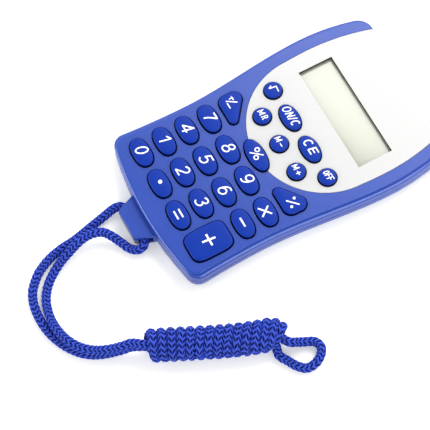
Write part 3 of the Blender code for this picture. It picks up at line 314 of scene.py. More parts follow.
def soften(mesh, angle=32.0):
    """Smooth shading below an angle, with wide level faces shaded as truly level."""
    steepest = math.cos(math.radians(angle))
    mesh.shade_smooth()
    mesh.set_sharp_from_angle(angle=math.radians(angle))
    level = set()
    for face in mesh.polygons:
        if face.normal.z > 0.9999 and face.area > 1e-6:
            level.update(face.vertices)
    normals = [tuple(corner.vector) for corner in mesh.corner_normals]
    for face in mesh.polygons:
        if face.normal.z > steepest or level.issuperset(face.vertices):
            for corner in face.loop_indices:
                if mesh.loops[corner].vertex_index in level:
                    normals[corner] = (0.0, 0.0, 1.0)
    mesh.normals_split_custom_set(normals)


def add_piece(name, mesh, material, body, replaced=()):
    """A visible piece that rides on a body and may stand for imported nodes."""
    piece = bpy.data.objects.new(name, mesh)
    bpy.context.scene.collection.objects.link(piece)
    piece.data.materials.clear()
    piece.data.materials.append(material)
    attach(piece, body)
    if replaced:
        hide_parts(*replaced)
    return piece


# ---------------------------------------------------------------------------- shader helpers
def new_group(name, inputs, outputs):
    """An empty shader node group with named inputs, given as (name, default), and outputs."""
    group = bpy.data.node_groups.new(name, "ShaderNodeTree")
    for label, default in inputs:
        socket = group.interface.new_socket(label, in_out="INPUT", socket_type="NodeSocketFloat")
        socket.default_value = default
    for label in outputs:
        group.interface.new_socket(label, in_out="OUTPUT", socket_type="NodeSocketFloat")
    return group, group.nodes.new("NodeGroupInput"), group.nodes.new("NodeGroupOutput")


def set_inputs(tree, node, values):
    """Sets a node's inputs, each to a number or a colour, or to a socket to link."""
    for key, value in values.items():
        if isinstance(value, bpy.types.NodeSocket):
            tree.links.new(value, node.inputs[key])
        else:
            node.inputs[key].default_value = value


def add_node(tree, kind, values=(), **settings):
    """A node with its settings and the values of its inputs."""
    node = tree.nodes.new(kind)
    for key, value in settings.items():
        setattr(node, key, value)
    set_inputs(tree, node, dict(values))
    return node


def calculate(tree, operation, first, second=0.0, third=None, clamp=False):
    values = {0: first, 1: second}
    if third is not None:
        values[2] = third
    node = add_node(tree, "ShaderNodeMath", values, operation=operation, use_clamp=clamp)
    return node.outputs[0]


def blend_colours(tree, factor, first, second, mode="MIX"):
    node = add_node(tree, "ShaderNodeMix", {0: factor, 6: first, 7: second}, data_type="RGBA",
                    blend_type=mode)
    return node.outputs[2]


def tint(base, scale=1.0):
    """A colour made darker or lighter, with full alpha."""
    return tuple(min(1.0, c * scale) for c in base) + (1.0,)


def own_places(tree):
    return add_node(tree, "ShaderNodeTexCoord").outputs["Object"]


def noise(tree, places, scale, detail, roughness=0.5):
    values = {"Vector": places, "Scale": scale, "Detail": detail, "Roughness": roughness}
    return add_node(tree, "ShaderNodeTexNoise", values).outputs[0]


def relief(tree, height, strength):
    """The normals of a surface with fine relief."""
    values = {"Height": height, "Strength": strength, "Distance": 0.0002}
    return add_node(tree, "ShaderNodeBump", values).outputs[0]


def moulded_grain():
    """Fine moulded grain, slow unevenness and a few dust specks, in the object's own places."""
    name = "Moulded grain"
    if name in bpy.data.node_groups:
        return bpy.data.node_groups[name]
    group, given, result = new_group(
        name, [("Grain Scale", 5000.0), ("Mottle Scale", 90.0), ("Speck Scale", 420.0)],
        ("Height", "Mottle", "Specks"))
    places = own_places(group)
    cells = add_node(group, "ShaderNodeTexVoronoi",
                     {"Vector": places, "Scale": given.outputs["Speck Scale"], "Randomness": 1.0})
    set_inputs(group, result, {
        "Height": noise(group, places, given.outputs["Grain Scale"], 2.0),
        "Mottle": noise(group, places, given.outputs["Mottle Scale"], 4.0, 0.6),
        "Specks": calculate(group, "LESS_THAN", cells.outputs["Distance"], 0.07)})
    return group


def edge_wear_and_highlight():
    """A mask of the edges, brighter where the surface turns outwards: partly scuffing that hands
    leave, partly a painted edge highlight.
    """
    name = "Edge rub"
    if name in bpy.data.node_groups:
        return bpy.data.node_groups[name]
    group, given, result = new_group(name, [("Patch Scale", 260.0)], ("Mask",))
    bend = add_node(group, "ShaderNodeNewGeometry").outputs["Pointiness"]
    patches = noise(group, own_places(group), given.outputs["Patch Scale"], 3.0)
    edge = calculate(group, "MULTIPLY_ADD", bend, 9.0, -4.7, clamp=True)
    set_inputs(group, result, {"Mask": calculate(group, "MULTIPLY", edge, patches, clamp=True)})
    return group


def new_material(name):
    material = bpy.data.materials.new(name)
    material.use_nodes = True
    return material, material.node_tree, material.node_tree.nodes["Principled BSDF"]


def plastic(name, base, roughness, grain=0.02, scale=5000.0, mottle=0.10, rub_and_highlight=0.25, specular=0.5):
    """Moulded plastic: grain, uneven sheen and lighter edges, partly scuffing and partly painted
    highlight.
    """
    if name in bpy.data.materials:
        return bpy.data.materials[name]
    material, tree, shader = new_material(name)
    grains = add_node(tree, "ShaderNodeGroup", node_tree=moulded_grain())
    grains.inputs["Grain Scale"].default_value = scale
    edge_lightening = add_node(tree, "ShaderNodeGroup", node_tree=edge_wear_and_highlight())
    # Painted highlight and scuffing: the paler colour that convex edges are lightened towards.
    worn_and_lit = tint([c + (0.9 - c) * 0.35 for c in base])
    body = blend_colours(tree, grains.outputs["Mottle"], tint(base, 1 - mottle),
                         tint(base, 1 + mottle))
    wear_and_highlight = calculate(tree, "MULTIPLY", edge_lightening.outputs["Mask"], rub_and_highlight)
    uneven = calculate(tree, "MULTIPLY_ADD", grains.outputs["Mottle"], 0.12, roughness - 0.06)
    set_inputs(tree, shader, {
        "Base Color": blend_colours(tree, wear_and_highlight, body, worn_and_lit),
        "Roughness": calculate(tree, "MULTIPLY_ADD", grains.outputs["Specks"], 0.10, uneven),
        "Normal": relief(tree, grains.outputs["Height"], grain),
        "Specular IOR Level": specular})
    return material


def key_plastic(sizes):
    """The keys' plastic, with painted shade darkening the keys' sides low down in the gaps."""
    material = plastic("Key plastic", sizes.blue, 0.40, grain=0.04, mottle=0.05,
                       rub_and_highlight=0.08, specular=0.12)
    tree = material.node_tree
    shader = tree.nodes["Principled BSDF"]
    height = add_node(tree, "ShaderNodeSeparateXYZ", {0: own_places(tree)}).outputs["Z"]
    # Painted shade: below a height just over the face, the keys' colour goes near black where the
    # gaps shade their sides.
    above = add_node(tree, "ShaderNodeMapRange",
                     {"Value": height, "From Min": FACE_Z + 0.0003, "From Max": FACE_Z + 0.0009})
    body = shader.inputs["Base Color"].links[0].from_socket
    painted_side_shade = blend_colours(tree, above.outputs[0], tint(sizes.blue, 0.06), body)
    set_inputs(tree, shader, {"Base Color": painted_side_shade})
    return material


def rubber(name, base, roughness=0.8):
    return plastic(name, base, roughness, grain=0.25, scale=2600.0, mottle=0.25, rub_and_highlight=0.1,
                   specular=0.3)


def metal(name, base, roughness):
    """Metal with fine drawn lines and faint tarnish."""
    material, tree, shader = new_material(name)
    drawn = add_node(tree, "ShaderNodeMapping",
                     {"Vector": own_places(tree), "Scale": (1.0, 14.0, 14.0)})
    lines = noise(tree, drawn.outputs[0], 900.0, 3.0)
    grains = add_node(tree, "ShaderNodeGroup", node_tree=moulded_grain())
    tarnish = calculate(tree, "MULTIPLY_ADD", grains.outputs["Mottle"], 1.6, -0.5, clamp=True)
    set_inputs(tree, shader, {
        "Base Color": blend_colours(tree, tarnish, tint(base), tint(base, 0.72)),
        "Roughness": calculate(tree, "MULTIPLY_ADD", lines, 0.25, roughness - 0.12),
        "Normal": relief(tree, lines, 0.08),
        "Metallic": 1.0})
    return material


def yarn_material():
    """Knitted yarn: painted shade in the hollows between the stitches, painted highlight on the
    crowns and fine twisted fibres.
    """
    sizes = bpy.context.scene.calculator_cord
    material, tree, shader = new_material("Knitted yarn")
    depth = add_node(tree, "ShaderNodeAttribute", attribute_name="crown").outputs["Fac"]
    along = add_node(tree, "ShaderNodeAttribute", attribute_name="place").outputs["Vector"]
    fibres = noise(tree, along, 2.2, 3.0)
    faded = noise(tree, along, 0.06, 2.0)
    # Painted highlight: the crowns' lighter colour, laid on the stitch tops together with the
    # fibres.
    crown = tint([c * 1.35 + 0.065 for c in sizes.yarn])
    rise = calculate(tree, "POWER", depth, 1.9, clamp=True)
    # Painted shade: the yarn darkens towards the hollow colour deep between the stitches.
    body = blend_colours(tree, rise, tint(sizes.hollow), tint(sizes.yarn))
    top = calculate(tree, "MULTIPLY_ADD", depth, 2.4, -1.45, clamp=True)
    lit = calculate(tree, "MULTIPLY", top, fibres)
    colours = blend_colours(tree, lit, body, crown)
    fade = calculate(tree, "MULTIPLY_ADD", faded, 0.5, 0.75)
    set_inputs(tree, shader, {
        "Base Color": blend_colours(tree, 1.0, colours, fade, "MULTIPLY"),
        "Roughness": calculate(tree, "MULTIPLY_ADD", fibres, 0.2, 0.55),
        "Normal": relief(tree, fibres, 0.35),
        "Specular IOR Level": 0.03})
    return material


# ---------------------------------------------------------------------------- the case's lines
def foot_y():
    return LUG_TIP_Y + bpy.context.scene.calculator_case.lug_length


def half_width(y):
    """Half the case's width: a flared foot, a waist and a wide head."""
    case = bpy.context.scene.calculator_case
    waist = case.waist_width / 2
    widest = case.widest_width / 2
    waist_y = foot_y() + case.waist_from_foot
    widest_y = foot_y() + case.widest_from_foot
    if y < waist_y:
        return waist + (case.foot_width / 2 - waist) * ((waist_y - y) / case.waist_from_foot) ** 2
    if y < widest_y:
        along = (y - waist_y) / (widest_y - waist_y)
        return waist + (widest - waist) * along ** 2 * (3 - 2 * along)
    return widest - (widest - case.head_width / 2) * ((y - widest_y) / (HEAD_Y - widest_y)) ** 2


def bezier(start, first, second, end, part):
    rest = 1 - part
    weights = (rest ** 3, 3 * rest ** 2 * part, 3 * rest * part ** 2, part ** 3)
    points = (start, first, second, end)
    return tuple(sum(w * p[axis] for w, p in zip(weights, points)) for axis in (0, 1))


def on_end(x, end_y, radius, direction):
    """The point on an end's arc at a distance from the middle."""
    return x, end_y + direction * x * x / (2 * radius)


def end_corner(side, *end):
    """Where an end's arc meets the side line."""
    y = end[0]
    for _ in range(12):
        x, y = on_end(half_width(y) - side, *end)
    return x, y


def corner_points(corner, side, *end):
    """A rounded corner from the end's arc round to the side line."""
    reach = bpy.context.scene.calculator_case.corner
    start = on_end(corner[0] - reach, *end)
    y = corner[1] + end[-1] * reach
    finish = (half_width(y) - side, y)
    pull = 0.56
    first = tuple(start[a] + (corner[a] - start[a]) * pull for a in (0, 1))
    second = tuple(finish[a] + (corner[a] - finish[a]) * pull for a in (0, 1))
    return [bezier(start, first, second, finish, index / 12) for index in range(13)]


def case_outline(side, foot, head):
    """The case's outline moved inwards by side, foot and head."""
    case = bpy.context.scene.calculator_case
    low_end = (foot_y() + foot, case.foot_arc, 1)
    high_end = (HEAD_Y - head, case.head_arc, -1)
    low_corner = end_corner(side, *low_end)
    high_corner = end_corner(side, *high_end)
    right = [on_end((low_corner[0] - case.corner) * index / 10, *low_end) for index in range(1, 10)]
    right += corner_points(low_corner, side, *low_end)
    start = low_corner[1] + case.corner
    end = high_corner[1] - case.corner
    for index in range(1, 48):
        y = start + (end - start) * index / 48
        right.append((half_width(y) - side, y))
    right += reversed(corner_points(high_corner, side, *high_end))
    right += [on_end((high_corner[0] - case.corner) * index / 10, *high_end)
              for index in range(9, 0, -1)]
    left = [(-x, y) for x, y in reversed(right)]
    return [(0.0, low_end[0])] + right + [(0.0, high_end[0])] + left


def case_ring(side, foot, head, z):
    return [(x, y, z) for x, y in case_outline(side, foot, head)]


def upper_case_rings():
    """The upper case: wall, rounded shoulder, small hollow step and the raised face."""
    case = bpy.context.scene.calculator_case
    low = case.parting_height + case.gap / 2
    shoulder_in = case.shoulder_width - 0.00015
    foot_round = 0.0011
    head_round = 0.0013
    levels = [(EDGE_BREAK, low), (0.0, low + EDGE_BREAK)]
    for inward, below in rounding(8):
        drop = case.step_drop + (case.shoulder_drop - case.step_drop) * below
        levels.append((shoulder_in * inward, FACE_Z - drop))
    step_z = FACE_Z - case.step_drop
    for beyond, z in ((0.0, step_z + 0.00002), (0.00001, step_z + 0.00010),
                      (0.00002, FACE_Z - 0.00018), (0.00006, FACE_Z - 0.00008),
                      (0.00013, FACE_Z - 0.00002), (0.00022, FACE_Z)):
        levels.append((case.shoulder_width + beyond, z))
    rings = []
    for side, z in levels:
        foot = quarter_round(foot_round, FACE_Z - z)
        head = quarter_round(head_round, FACE_Z - z)
        edge = EDGE_BREAK if z == low else 0.0
        rings.append(case_ring(side, foot + edge, head + edge, z))
    return rings


def quarter_round(radius, below):
    """How far a rounded edge has drawn in at a depth below its top."""
    if below >= radius:
        return 0.0
    return radius - math.sqrt(radius ** 2 - (radius - below) ** 2)


def panel_outline(grow):
    """The white panel's outline: a round lower end, sides beside the case's, open at the head."""
    border = bpy.context.scene.calculator_case.panel_border - grow
    centre_y = WINDOW_Y - 0.0100
    radius = half_width(centre_y) - border
    points = []
    for index in range(73):
        turn = math.pi * index / 72
        points.append((-radius * math.cos(turn), centre_y - radius * math.sin(turn)))
    beyond = HEAD_Y + 0.003
    sides = []
    for index in range(1, 19):
        y = centre_y + (beyond - centre_y) * index / 18
        sides.append((half_width(y) - border, y))
    return points + sides + [(-x, y) for x, y in reversed(sides)]


def flared(name, outline, low, edge, reach, outward=1):
    """A cutter that rounds the edge it leaves: straight below, flaring out to the face."""
    rings = [[(x, y, low) for x, y in outline(0.0)]]
    for inward, below in rounding(4):
        rings.append([(x, y, edge - reach * below) for x, y in outline(outward * reach * inward)])
    rings.append([(x, y, edge + 2 * CUT_BEYOND) for x, y in outline(outward * reach)])
    return loft(name, rings)


# ---------------------------------------------------------------------------- the keys' outlines
def oval(size, power, grow, count=64):
    points = []
    for index in range(count):
        turn = 2 * math.pi * index / count
        points.append(tuple((size[axis] / 2 + grow) * math.copysign(abs(way) ** (2 / power), way)
                            for axis, way in enumerate((math.cos(turn), math.sin(turn)))))
    return points


def teardrop(side, grow):
    """The line round three circles: a wide end made of two and a narrow end made of one."""
    circles = ((0.0039, -0.0019, 0.00235), (-0.0039, 0.0026, 0.00365),
               (-0.0036, -0.0004, 0.00385))
    leave = []
    for index, (x, y, radius) in enumerate(circles):
        next_x, next_y, next_radius = circles[(index + 1) % 3]
        apart = math.hypot(next_x - x, next_y - y)
        heading = math.atan2(next_y - y, next_x - x)
        leave.append(heading - math.acos((radius - next_radius) / apart))
    points = []
    for index, (x, y, radius) in enumerate(circles):
        start = leave[index - 1]
        sweep = (leave[index] - start) % (2 * math.pi)
        for step in range(22):
            turn = start + sweep * step / 21
            reach = radius + grow
            points.append((x + reach * math.cos(turn), y + reach * math.sin(turn)))
    if side < 0:
        points = [(-x, y) for x, y in reversed(points)]
    return points


def key_outline(name, grow):
    """A key's outline round its own middle, grown by a margin from its hole's."""
    kind, size, power = KEY_HOLES.get(name, OVAL)
    if kind == "teardrop":
        return teardrop(size, grow)
    return oval(size, power, grow)


def key_middle(name):
    """The point a key's outline is drawn round."""
    place = middle(name)
    if name in ("key_sign", "key_divide"):
        across, along = zip(*key_outline(name, 0.0))
        place.x -= (min(across) + max(across)) / 2
        place.y -= (min(along) + max(along)) / 2
    return place


# ---------------------------------------------------------------------------- the cord's route
def distances(points):
    """How far along a line of points each one lies."""
    return np.concatenate([[0.0], np.cumsum(np.linalg.norm(np.diff(points, axis=0), axis=1))])


def smooth_route(points, spacing):
    """Points at an even spacing along a smooth curve through the given ones."""
    knots = [Vector(point) for point in points]
    padded = [2 * knots[0] - knots[1]] + knots + [2 * knots[-1] - knots[-2]]
    fine = []
    for index in range(1, len(padded) - 2):
        before, start, end, after = padded[index - 1:index + 3]
        for step in range(16):
            t = step / 16
            fine.append(0.5 * (2 * start + (end - before) * t
                               + (2 * before - 5 * start + 4 * end - after) * t ** 2
                               + (3 * start - 3 * end + after - before) * t ** 3))
    fine.append(knots[-1])
    points = np.array([tuple(p) for p in fine])
    gone = distances(points)
    count = max(2, round(gone[-1] / spacing))
    even = np.linspace(0.0, gone[-1], count + 1)
    return np.stack([np.interp(even, gone, points[:, axis]) for axis in range(3)], 1)


def from_lug(points):
    return [Vector(point) + Vector((0.0, LUG_TIP_Y, 0.0)) for point in points]


def cord_route():
    """The whole cord: one strand in, two wraps round the hank's core, the loop, one strand out."""
    sizes = bpy.context.scene.calculator_cord
    axis = smooth_route(from_lug(HANK_AXIS), 0.0005)
    gone = distances(axis)

    def on_axis(along):
        return np.array([np.interp(along, gone, axis[:, k]) for k in range(3)])

    def in_hank(*places):
        """Points given as along the hank, across it and up from its axis."""
        points = []
        for along, across, up in places:
            ahead = on_axis(along + 0.001) - on_axis(along - 0.001)
            ahead /= np.linalg.norm(ahead)
            beyond = max(0.0, along - gone[-1]) + min(0.0, along)
            side = np.array([ahead[1], -ahead[0], 0.0])
            points.append(Vector(on_axis(along) + ahead * beyond + side * across
                                 + np.array([0.0, 0.0, up])))
        return points

    half_wide = HANK_HALF_WIDTH - sizes.diameter / 2
    half_high = HANK_HALF_HEIGHT - sizes.diameter / 2
    last_wrap = FIRST_WRAP + (WRAPS_IN_VIEW - 1) * sizes.wrap_pitch
    advance = 2 * sizes.wrap_pitch

    def wrap(last_top, turns, steps=26):
        """A wrap that starts at the hank's right and works left, advancing mostly underneath."""
        places = []
        for index in range(int(turns * steps) + 1):
            turn = WRAP_START + 2 * math.pi * index / steps
            done = turn - WRAP_TOP + ADVANCE_UNDERNEATH * math.cos(turn)
            along = last_top - advance * done / (2 * math.pi)
            along += math.cos(turn) * (0.0003 - 0.0026 * along / last_wrap)
            places.append((along, half_wide * math.cos(turn), half_high * math.sin(turn)))
        return in_hank(*places)

    def core(across, up, first=0):
        return in_hank(*((along, across, up) for along in CORE_PLACES[first:]))

    crossing = in_hank(
        (0.0462, 0.0016, -0.0022), (0.0478, 0.0036, -0.0016), (0.0487, 0.0044, 0.0008),
        (0.0498, 0.0028, 0.0034), (0.0510, 0.0002, 0.0044), (0.0522, -0.0022, 0.0036),
        (0.0530, -0.0038, 0.0012), (0.0530, -0.0040, -0.0016), (0.0520, -0.0034, -0.0036))
    knob = in_hank(
        (0.0551, -0.0027, -0.0024), (0.0554, -0.0020, 0.0002), (0.0548, -0.0008, 0.0026),
        (0.0536, 0.0010, 0.0034), (0.0520, 0.0028, 0.0024), (0.0504, 0.0038, -0.0002),
        (0.0488, 0.0030, -0.0022), (0.0468, 0.0012, -0.0014))
    inner_turn = in_hank((0.0070, -0.0014, -0.0040), (0.0073, 0.0010, -0.0034),
                         (0.0088, 0.0014, -0.0012))
    outer_turn = in_hank((0.0075, 0.0016, -0.0014), (0.0053, 0.0004, -0.0034),
                         (0.0044, -0.0020, -0.0037))
    inner_wrap = wrap(last_wrap - sizes.wrap_pitch, sizes.turns - 0.55)
    outer_wrap = wrap(last_wrap, sizes.turns + 0.45)
    return (from_lug(LEFT_STRAND) + core(-0.0004, -0.0017) + crossing + inner_wrap + inner_turn
            + core(-0.0017, 0.0002, 1) + in_hank((0.0500, -0.0014, -0.0006)) + from_lug(END_LOOP)
            + in_hank((0.0505, 0.0022, -0.0018)) + core(0.0017, -0.0002, 1)[::-1] + outer_turn
            + outer_wrap[::-1] + knob + core(0.0004, 0.0017)[::-1] + from_lug(RIGHT_STRAND)[::-1])


def route_frames(path):
    """Unit vectors along, beside and over a path, with as little twist as can be."""
    ahead = np.gradient(path, axis=0)
    ahead /= np.linalg.norm(ahead, axis=1)[:, None]
    beside = np.zeros_like(path)
    current = np.cross(ahead[0], (0.0, 0.0, 1.0))
    for index, direction in enumerate(ahead):
        current = current - direction * current.dot(direction)
        current /= np.linalg.norm(current)
        beside[index] = current
    return ahead, beside, np.cross(beside, ahead)


def stitch_height(column, row):
    """From 0 in the gaps between stitches to 1 on the yarn, whose legs lean left and right."""
    index = np.floor(column)
    across = column - index - 0.5
    lean = np.where(np.mod(index, 2) > 0.5, 0.75, -0.75)
    along = row - lean * across
    gap = (0.5 + 0.5 * np.cos(2 * math.pi * along)) ** 1.1
    depth = 0.22 + 0.78 * np.cos(math.pi * across) ** 2
    round_leg = 0.08 * np.cos(2 * math.pi * across)
    return np.clip(0.96 + round_leg - depth * gap, 0, 1)


def knitted_tube(path, diameter, stitch, columns, around=56):
    """A knitted cord as one closed tube whose surface follows every stitch, in uneven rows."""
    _, beside, over = route_frames(path)
    rings = len(path)
    turns = np.arange(around) / around
    along = np.arange(rings) * np.linalg.norm(np.diff(path, axis=0), axis=1).mean()
    turn_grid, along_grid = np.meshgrid(turns, along)
    column = turn_grid * columns
    angle = turn_grid * 2 * math.pi
    row = (along_grid / stitch + UNEVEN_ROWS * np.sin(along_grid * 900.0)
           + UNEVEN_ROWS * np.sin(along_grid * 370.0 + angle))
    height = stitch_height(column, row)
    radius = diameter / 2 + YARN_PROUD - KNIT_DEPTH * (1 - height)
    points = (path[:, None, :] + (np.cos(angle) * radius)[:, :, None] * beside[:, None, :]
              + (np.sin(angle) * radius)[:, :, None] * over[:, None, :])
    index = np.arange(rings * around).reshape(rings, around)
    following = np.roll(index, -1, axis=1)
    quads = np.stack([index[:-1], following[:-1], following[1:], index[1:]], -1).reshape(-1, 4)
    mesh = bpy.data.meshes.new("neck_cord")
    corners = quads.size + 2 * around
    mesh.vertices.add(rings * around)
    mesh.vertices.foreach_set("co", points.reshape(-1))
    mesh.loops.add(corners)
    caps = np.concatenate([index[0][::-1], index[-1]])
    mesh.loops.foreach_set("vertex_index", np.concatenate([quads.reshape(-1), caps]))
    mesh.polygons.add(len(quads) + 2)
    starts = np.concatenate([np.arange(len(quads)) * 4, [quads.size, quads.size + around]])
    mesh.polygons.foreach_set("loop_start", starts)
    mesh.update()
    mesh.validate()
    # The crown height also sets where the yarn material paints its shade and highlight.
    crown = mesh.attributes.new("crown", "FLOAT", "POINT")
    crown.data.foreach_set("value", height.reshape(-1).astype(np.float32))
    places = np.stack([column * 3.0, row * 0.8, column * 0.0], -1).reshape(-1)
    place = mesh.attributes.new("place", "FLOAT_VECTOR", "POINT")
    place.data.foreach_set("vector", places.astype(np.float32))
    mesh.shade_smooth()
    return mesh


# ---------------------------------------------------------------------------- legends
def arc(centre, size, start, end, steps=18):
    points = []
    for index in range(steps + 1):
        turn = math.radians(start + (end - start) * index / steps)
        points.append((centre[0] + size[0] * math.cos(turn), centre[1] + size[1] * math.sin(turn)))
    return points


# The lines of each sign, in a box one unit wide and one high.
MIDDLE = (0.5, 0.5)
UPRIGHT = [(0.0, 0.0), (0.0, 1.0)]
SIX = [arc((0.5, 0.31), (0.5, 0.31), 0, 360),
       arc((0.56, 0.46), (0.56, 0.54), 62, 180) + [(0.0, 0.30)]]
GLYPHS = {
    "0": [arc(MIDDLE, MIDDLE, 0, 360, 28)],
    "1": [[(0.0, 0.74), (0.62, 1.0), (0.62, 0.0)]],
    "2": [arc((0.5, 0.71), (0.48, 0.29), 160, -30) + [(0.0, 0.0)], [(0.0, 0.0), (1.0, 0.0)]],
    "3": [arc((0.45, 0.765), (0.44, 0.235), 155, -90),
          arc((0.45, 0.265), (0.52, 0.265), 90, -155)],
    "4": [[(0.74, 0.0), (0.74, 1.0)], [(0.74, 1.0), (0.0, 0.27)], [(0.0, 0.27), (1.0, 0.27)]],
    "5": [[(0.95, 1.0), (0.20, 1.0)], [(0.20, 1.0), (0.08, 0.54)],
          arc((0.47, 0.31), (0.52, 0.31), 132, -152)],
    "6": SIX,
    "7": [[(0.0, 1.0), (1.0, 1.0)], [(1.0, 1.0), (0.70, 0.68), (0.45, 0.34), (0.36, 0.0)]],
    "8": [arc((0.5, 0.76), (0.40, 0.24), 0, 360), arc((0.5, 0.265), (0.5, 0.265), 0, 360)],
    "9": [[(1.0 - x, 1.0 - y) for x, y in stroke] for stroke in SIX],
    "dot": [arc(MIDDLE, MIDDLE, 0, 360)],
    "bar": [[(0.0, 0.5), (1.0, 0.5)]],
    "post": [[(0.5, 0.0), (0.5, 1.0)]],
    "rise": [[(0.0, 0.0), (1.0, 1.0)]],
    "fall": [[(0.0, 1.0), (1.0, 0.0)]],
    "M": [UPRIGHT, [(0.0, 1.0), (0.5, 0.15)], [(0.5, 0.15), (1.0, 1.0)], [(1.0, 1.0), (1.0, 0.0)]],
    "R": [UPRIGHT, [(0.0, 1.0)] + arc((0.5, 0.76), (0.45, 0.24), 90, -90)
          + [(0.0, 0.52)], [(0.52, 0.52), (1.0, 0.0)]],
    "N": [UPRIGHT, [(0.0, 1.0), (1.0, 0.0)], [(1.0, 0.0), (1.0, 1.0)]],
    "C": [arc((0.54, 0.5), (0.54, 0.5), 50, 310, 24)],
    "E": [[(1.0, 1.0), (0.0, 1.0)], [(0.0, 1.0), (0.0, 0.0)], [(0.0, 0.0), (1.0, 0.0)],
          [(0.0, 0.52), (0.88, 0.52)]],
    "F": [[(1.0, 1.0), (0.0, 1.0)], [(0.0, 1.0), (0.0, 0.0)], [(0.0, 0.52), (0.85, 0.52)]],
    "root": [[(0.0, 0.40), (0.22, 0.0)], [(0.22, 0.0), (0.32, 1.0)], [(0.32, 1.0), (1.0, 0.92)]],
}
# What each key says: the width of its lines and how far they lean, then each sign with the
# left, right, lower and upper ends of its box from the key's middle, all in millimetres.
MEMORY = (0.38, 0.10)
LEGENDS = {
    "key_0": (0.58, 0.24, [("0", -1.85, 0.85, -1.95, 2.75)]),
    "key_1": (0.58, 0.22, [("1", -1.45, 1.10, -1.95, 2.75)]),
    "key_4": (0.58, 0.20, [("4", -2.05, 1.35, -1.95, 2.75)]),
    "key_7": (0.58, 0.20, [("7", -1.55, 1.25, -1.95, 2.60)]),
    "key_decimal": (0.79, 0.0, [("dot", -0.70, 0.15, -0.07, 0.78)]),
    "key_equals": (0.65, 0.0, [("bar", -1.75, 1.75, -1.45, -0.40),
                               ("bar", -1.75, 1.80, 0.6, 1.6)]),
    "key_plus": (0.79, 0.10, [("bar", -2.45, 2.30, 0.0, 0.6), ("post", -0.5, 0.2, -2.35, 2.75)]),
    "key_minus": (0.69, 0.0, [("bar", -2.15, 1.65, -0.5, 0.4)]),
    "key_multiply": (0.65, 0.0, [("rise", -2.3, 1.95, -2.1, 1.5),
                                 ("fall", -1.5, 1.45, -2.2, 1.7)]),
    "key_divide": (0.56, 0.0, [("rise", 1.0, 4.65, -1.05, 2.6), ("dot", 1.15, 1.75, 1.85, 2.45),
                               ("dot", 3.82, 4.42, -0.72, -0.12)]),
    "key_sign": (0.49, 0.0, [("bar", -5.65, -3.35, 1.6, 2.6), ("post", -4.9, -3.9, 0.85, 3.20),
                             ("rise", -4.15, -1.75, -0.75, 2.95),
                             ("bar", -3.1, -0.75, -1.25, -0.25)]),
    "key_percent": (0.49, 0.0, [("dot", -2.45, -0.75, 0.40, 2.10),
                                ("dot", 0.25, 1.95, -1.60, 0.10),
                                ("rise", -1.9, 1.5, -1.9, 2.2)]),
    "key_mr": (*MEMORY, [("M", -2.2, -0.50, -0.85, 1.60), ("R", 0.65, 1.70, -0.80, 1.65)]),
    "key_m_minus": (*MEMORY, [("M", -2.4, -0.75, -0.75, 1.70), ("bar", 0.35, 1.80, -0.35, 0.65)]),
    "key_m_plus": (*MEMORY, [("M", -2.4, -0.75, -0.75, 1.70), ("bar", 0.30, 2.00, -0.35, 0.65),
                             ("post", 0.65, 1.65, -0.70, 1.00)]),
    "key_on_c": (0.46, 0.24, [("0", -4.4, -2.45, -1.15, 1.95), ("N", -1.55, -0.05, -1.15, 1.95),
                              ("rise", 0.80, 1.45, -1.25, 2.10), ("C", 2.40, 4.10, -1.15, 1.95)]),
    "key_ce": (0.55, 0.20, [("C", -3.45, -1.15, -1.05, 2.10), ("E", 0.50, 2.75, -0.95, 2.10)]),
    "key_off": (0.37, 0.16, [("0", -2.10, -1.15, -0.80, 1.50), ("F", -0.55, 0.45, -0.80, 1.70),
                             ("F", 0.95, 1.95, -0.80, 1.75)]),
    "key_square_root": (0.46, 0.0, [("root", -1.80, 1.65, -1.15, 1.75)]),
}
LINE_OVERRUN = 0.22  # how far a straight line's paint runs past its ends, in line widths
DIGIT_LEGEND = (0.58, 0.22, -1.55, 1.25, -1.95, 2.75)


def legend_mesh(name, key, half_size, top, crown):
    """A key's printed legend: thin paint along the lines of each sign, lying on the key's crown."""
    if key in LEGENDS:
        stroke, lean, signs = LEGENDS[key]
    else:
        stroke, lean, *box = DIGIT_LEGEND
        signs = [(key[-1], *box)]
    curve = bpy.data.curves.new(name, "CURVE")
    curve.dimensions = "3D"
    curve.bevel_depth = stroke / 1000 / 2
    curve.bevel_resolution = 3
    curve.use_fill_caps = True
    for sign, left, right, low, high in signs:
        middle_y = (low + high) / 2
        for line in GLYPHS[sign]:
            knots = []
            for x, y in line:
                up = low + (high - low) * y
                across = left + (right - left) * x + lean * (up - middle_y)
                knots.append(Vector((across, up)) / 1000)
            closed = (knots[0] - knots[-1]).length < 1e-6
            if closed:
                knots.pop()
            elif len(knots) == 2:
                reach = (knots[1] - knots[0]).normalized() * stroke * LINE_OVERRUN / 1000
                knots = [knots[0] - reach, knots[1] + reach]
            fine = []
            for start, end in zip(knots, knots[1:]):
                count = max(1, round((end - start).length / 0.0003))
                fine += [start.lerp(end, step / count) for step in range(count)]
            fine.append(knots[-1])
            spline = curve.splines.new("POLY")
            spline.points.add(len(fine) - 1)
            spline.use_cyclic_u = closed
            for point, knot in zip(spline.points, fine):
                point.co = (knot.x, knot.y, 0.0, 1.0)
    holder = bpy.data.objects.new(name, curve)
    bpy.context.scene.collection.objects.link(holder)
    bpy.context.view_layer.update()
    seen = holder.evaluated_get(bpy.context.evaluated_depsgraph_get())
    mesh = bpy.data.meshes.new_from_object(seen)
    bpy.data.objects.remove(holder)
    for vertex in mesh.vertices:
        spread = (vertex.co.x / half_size[0]) ** 2 + (vertex.co.y / half_size[1]) ** 2
        lift = min(vertex.co.z * 0.4, 0.00002)
        vertex.co.z = lift + top - crown * min(spread, 1.0)
    return mesh


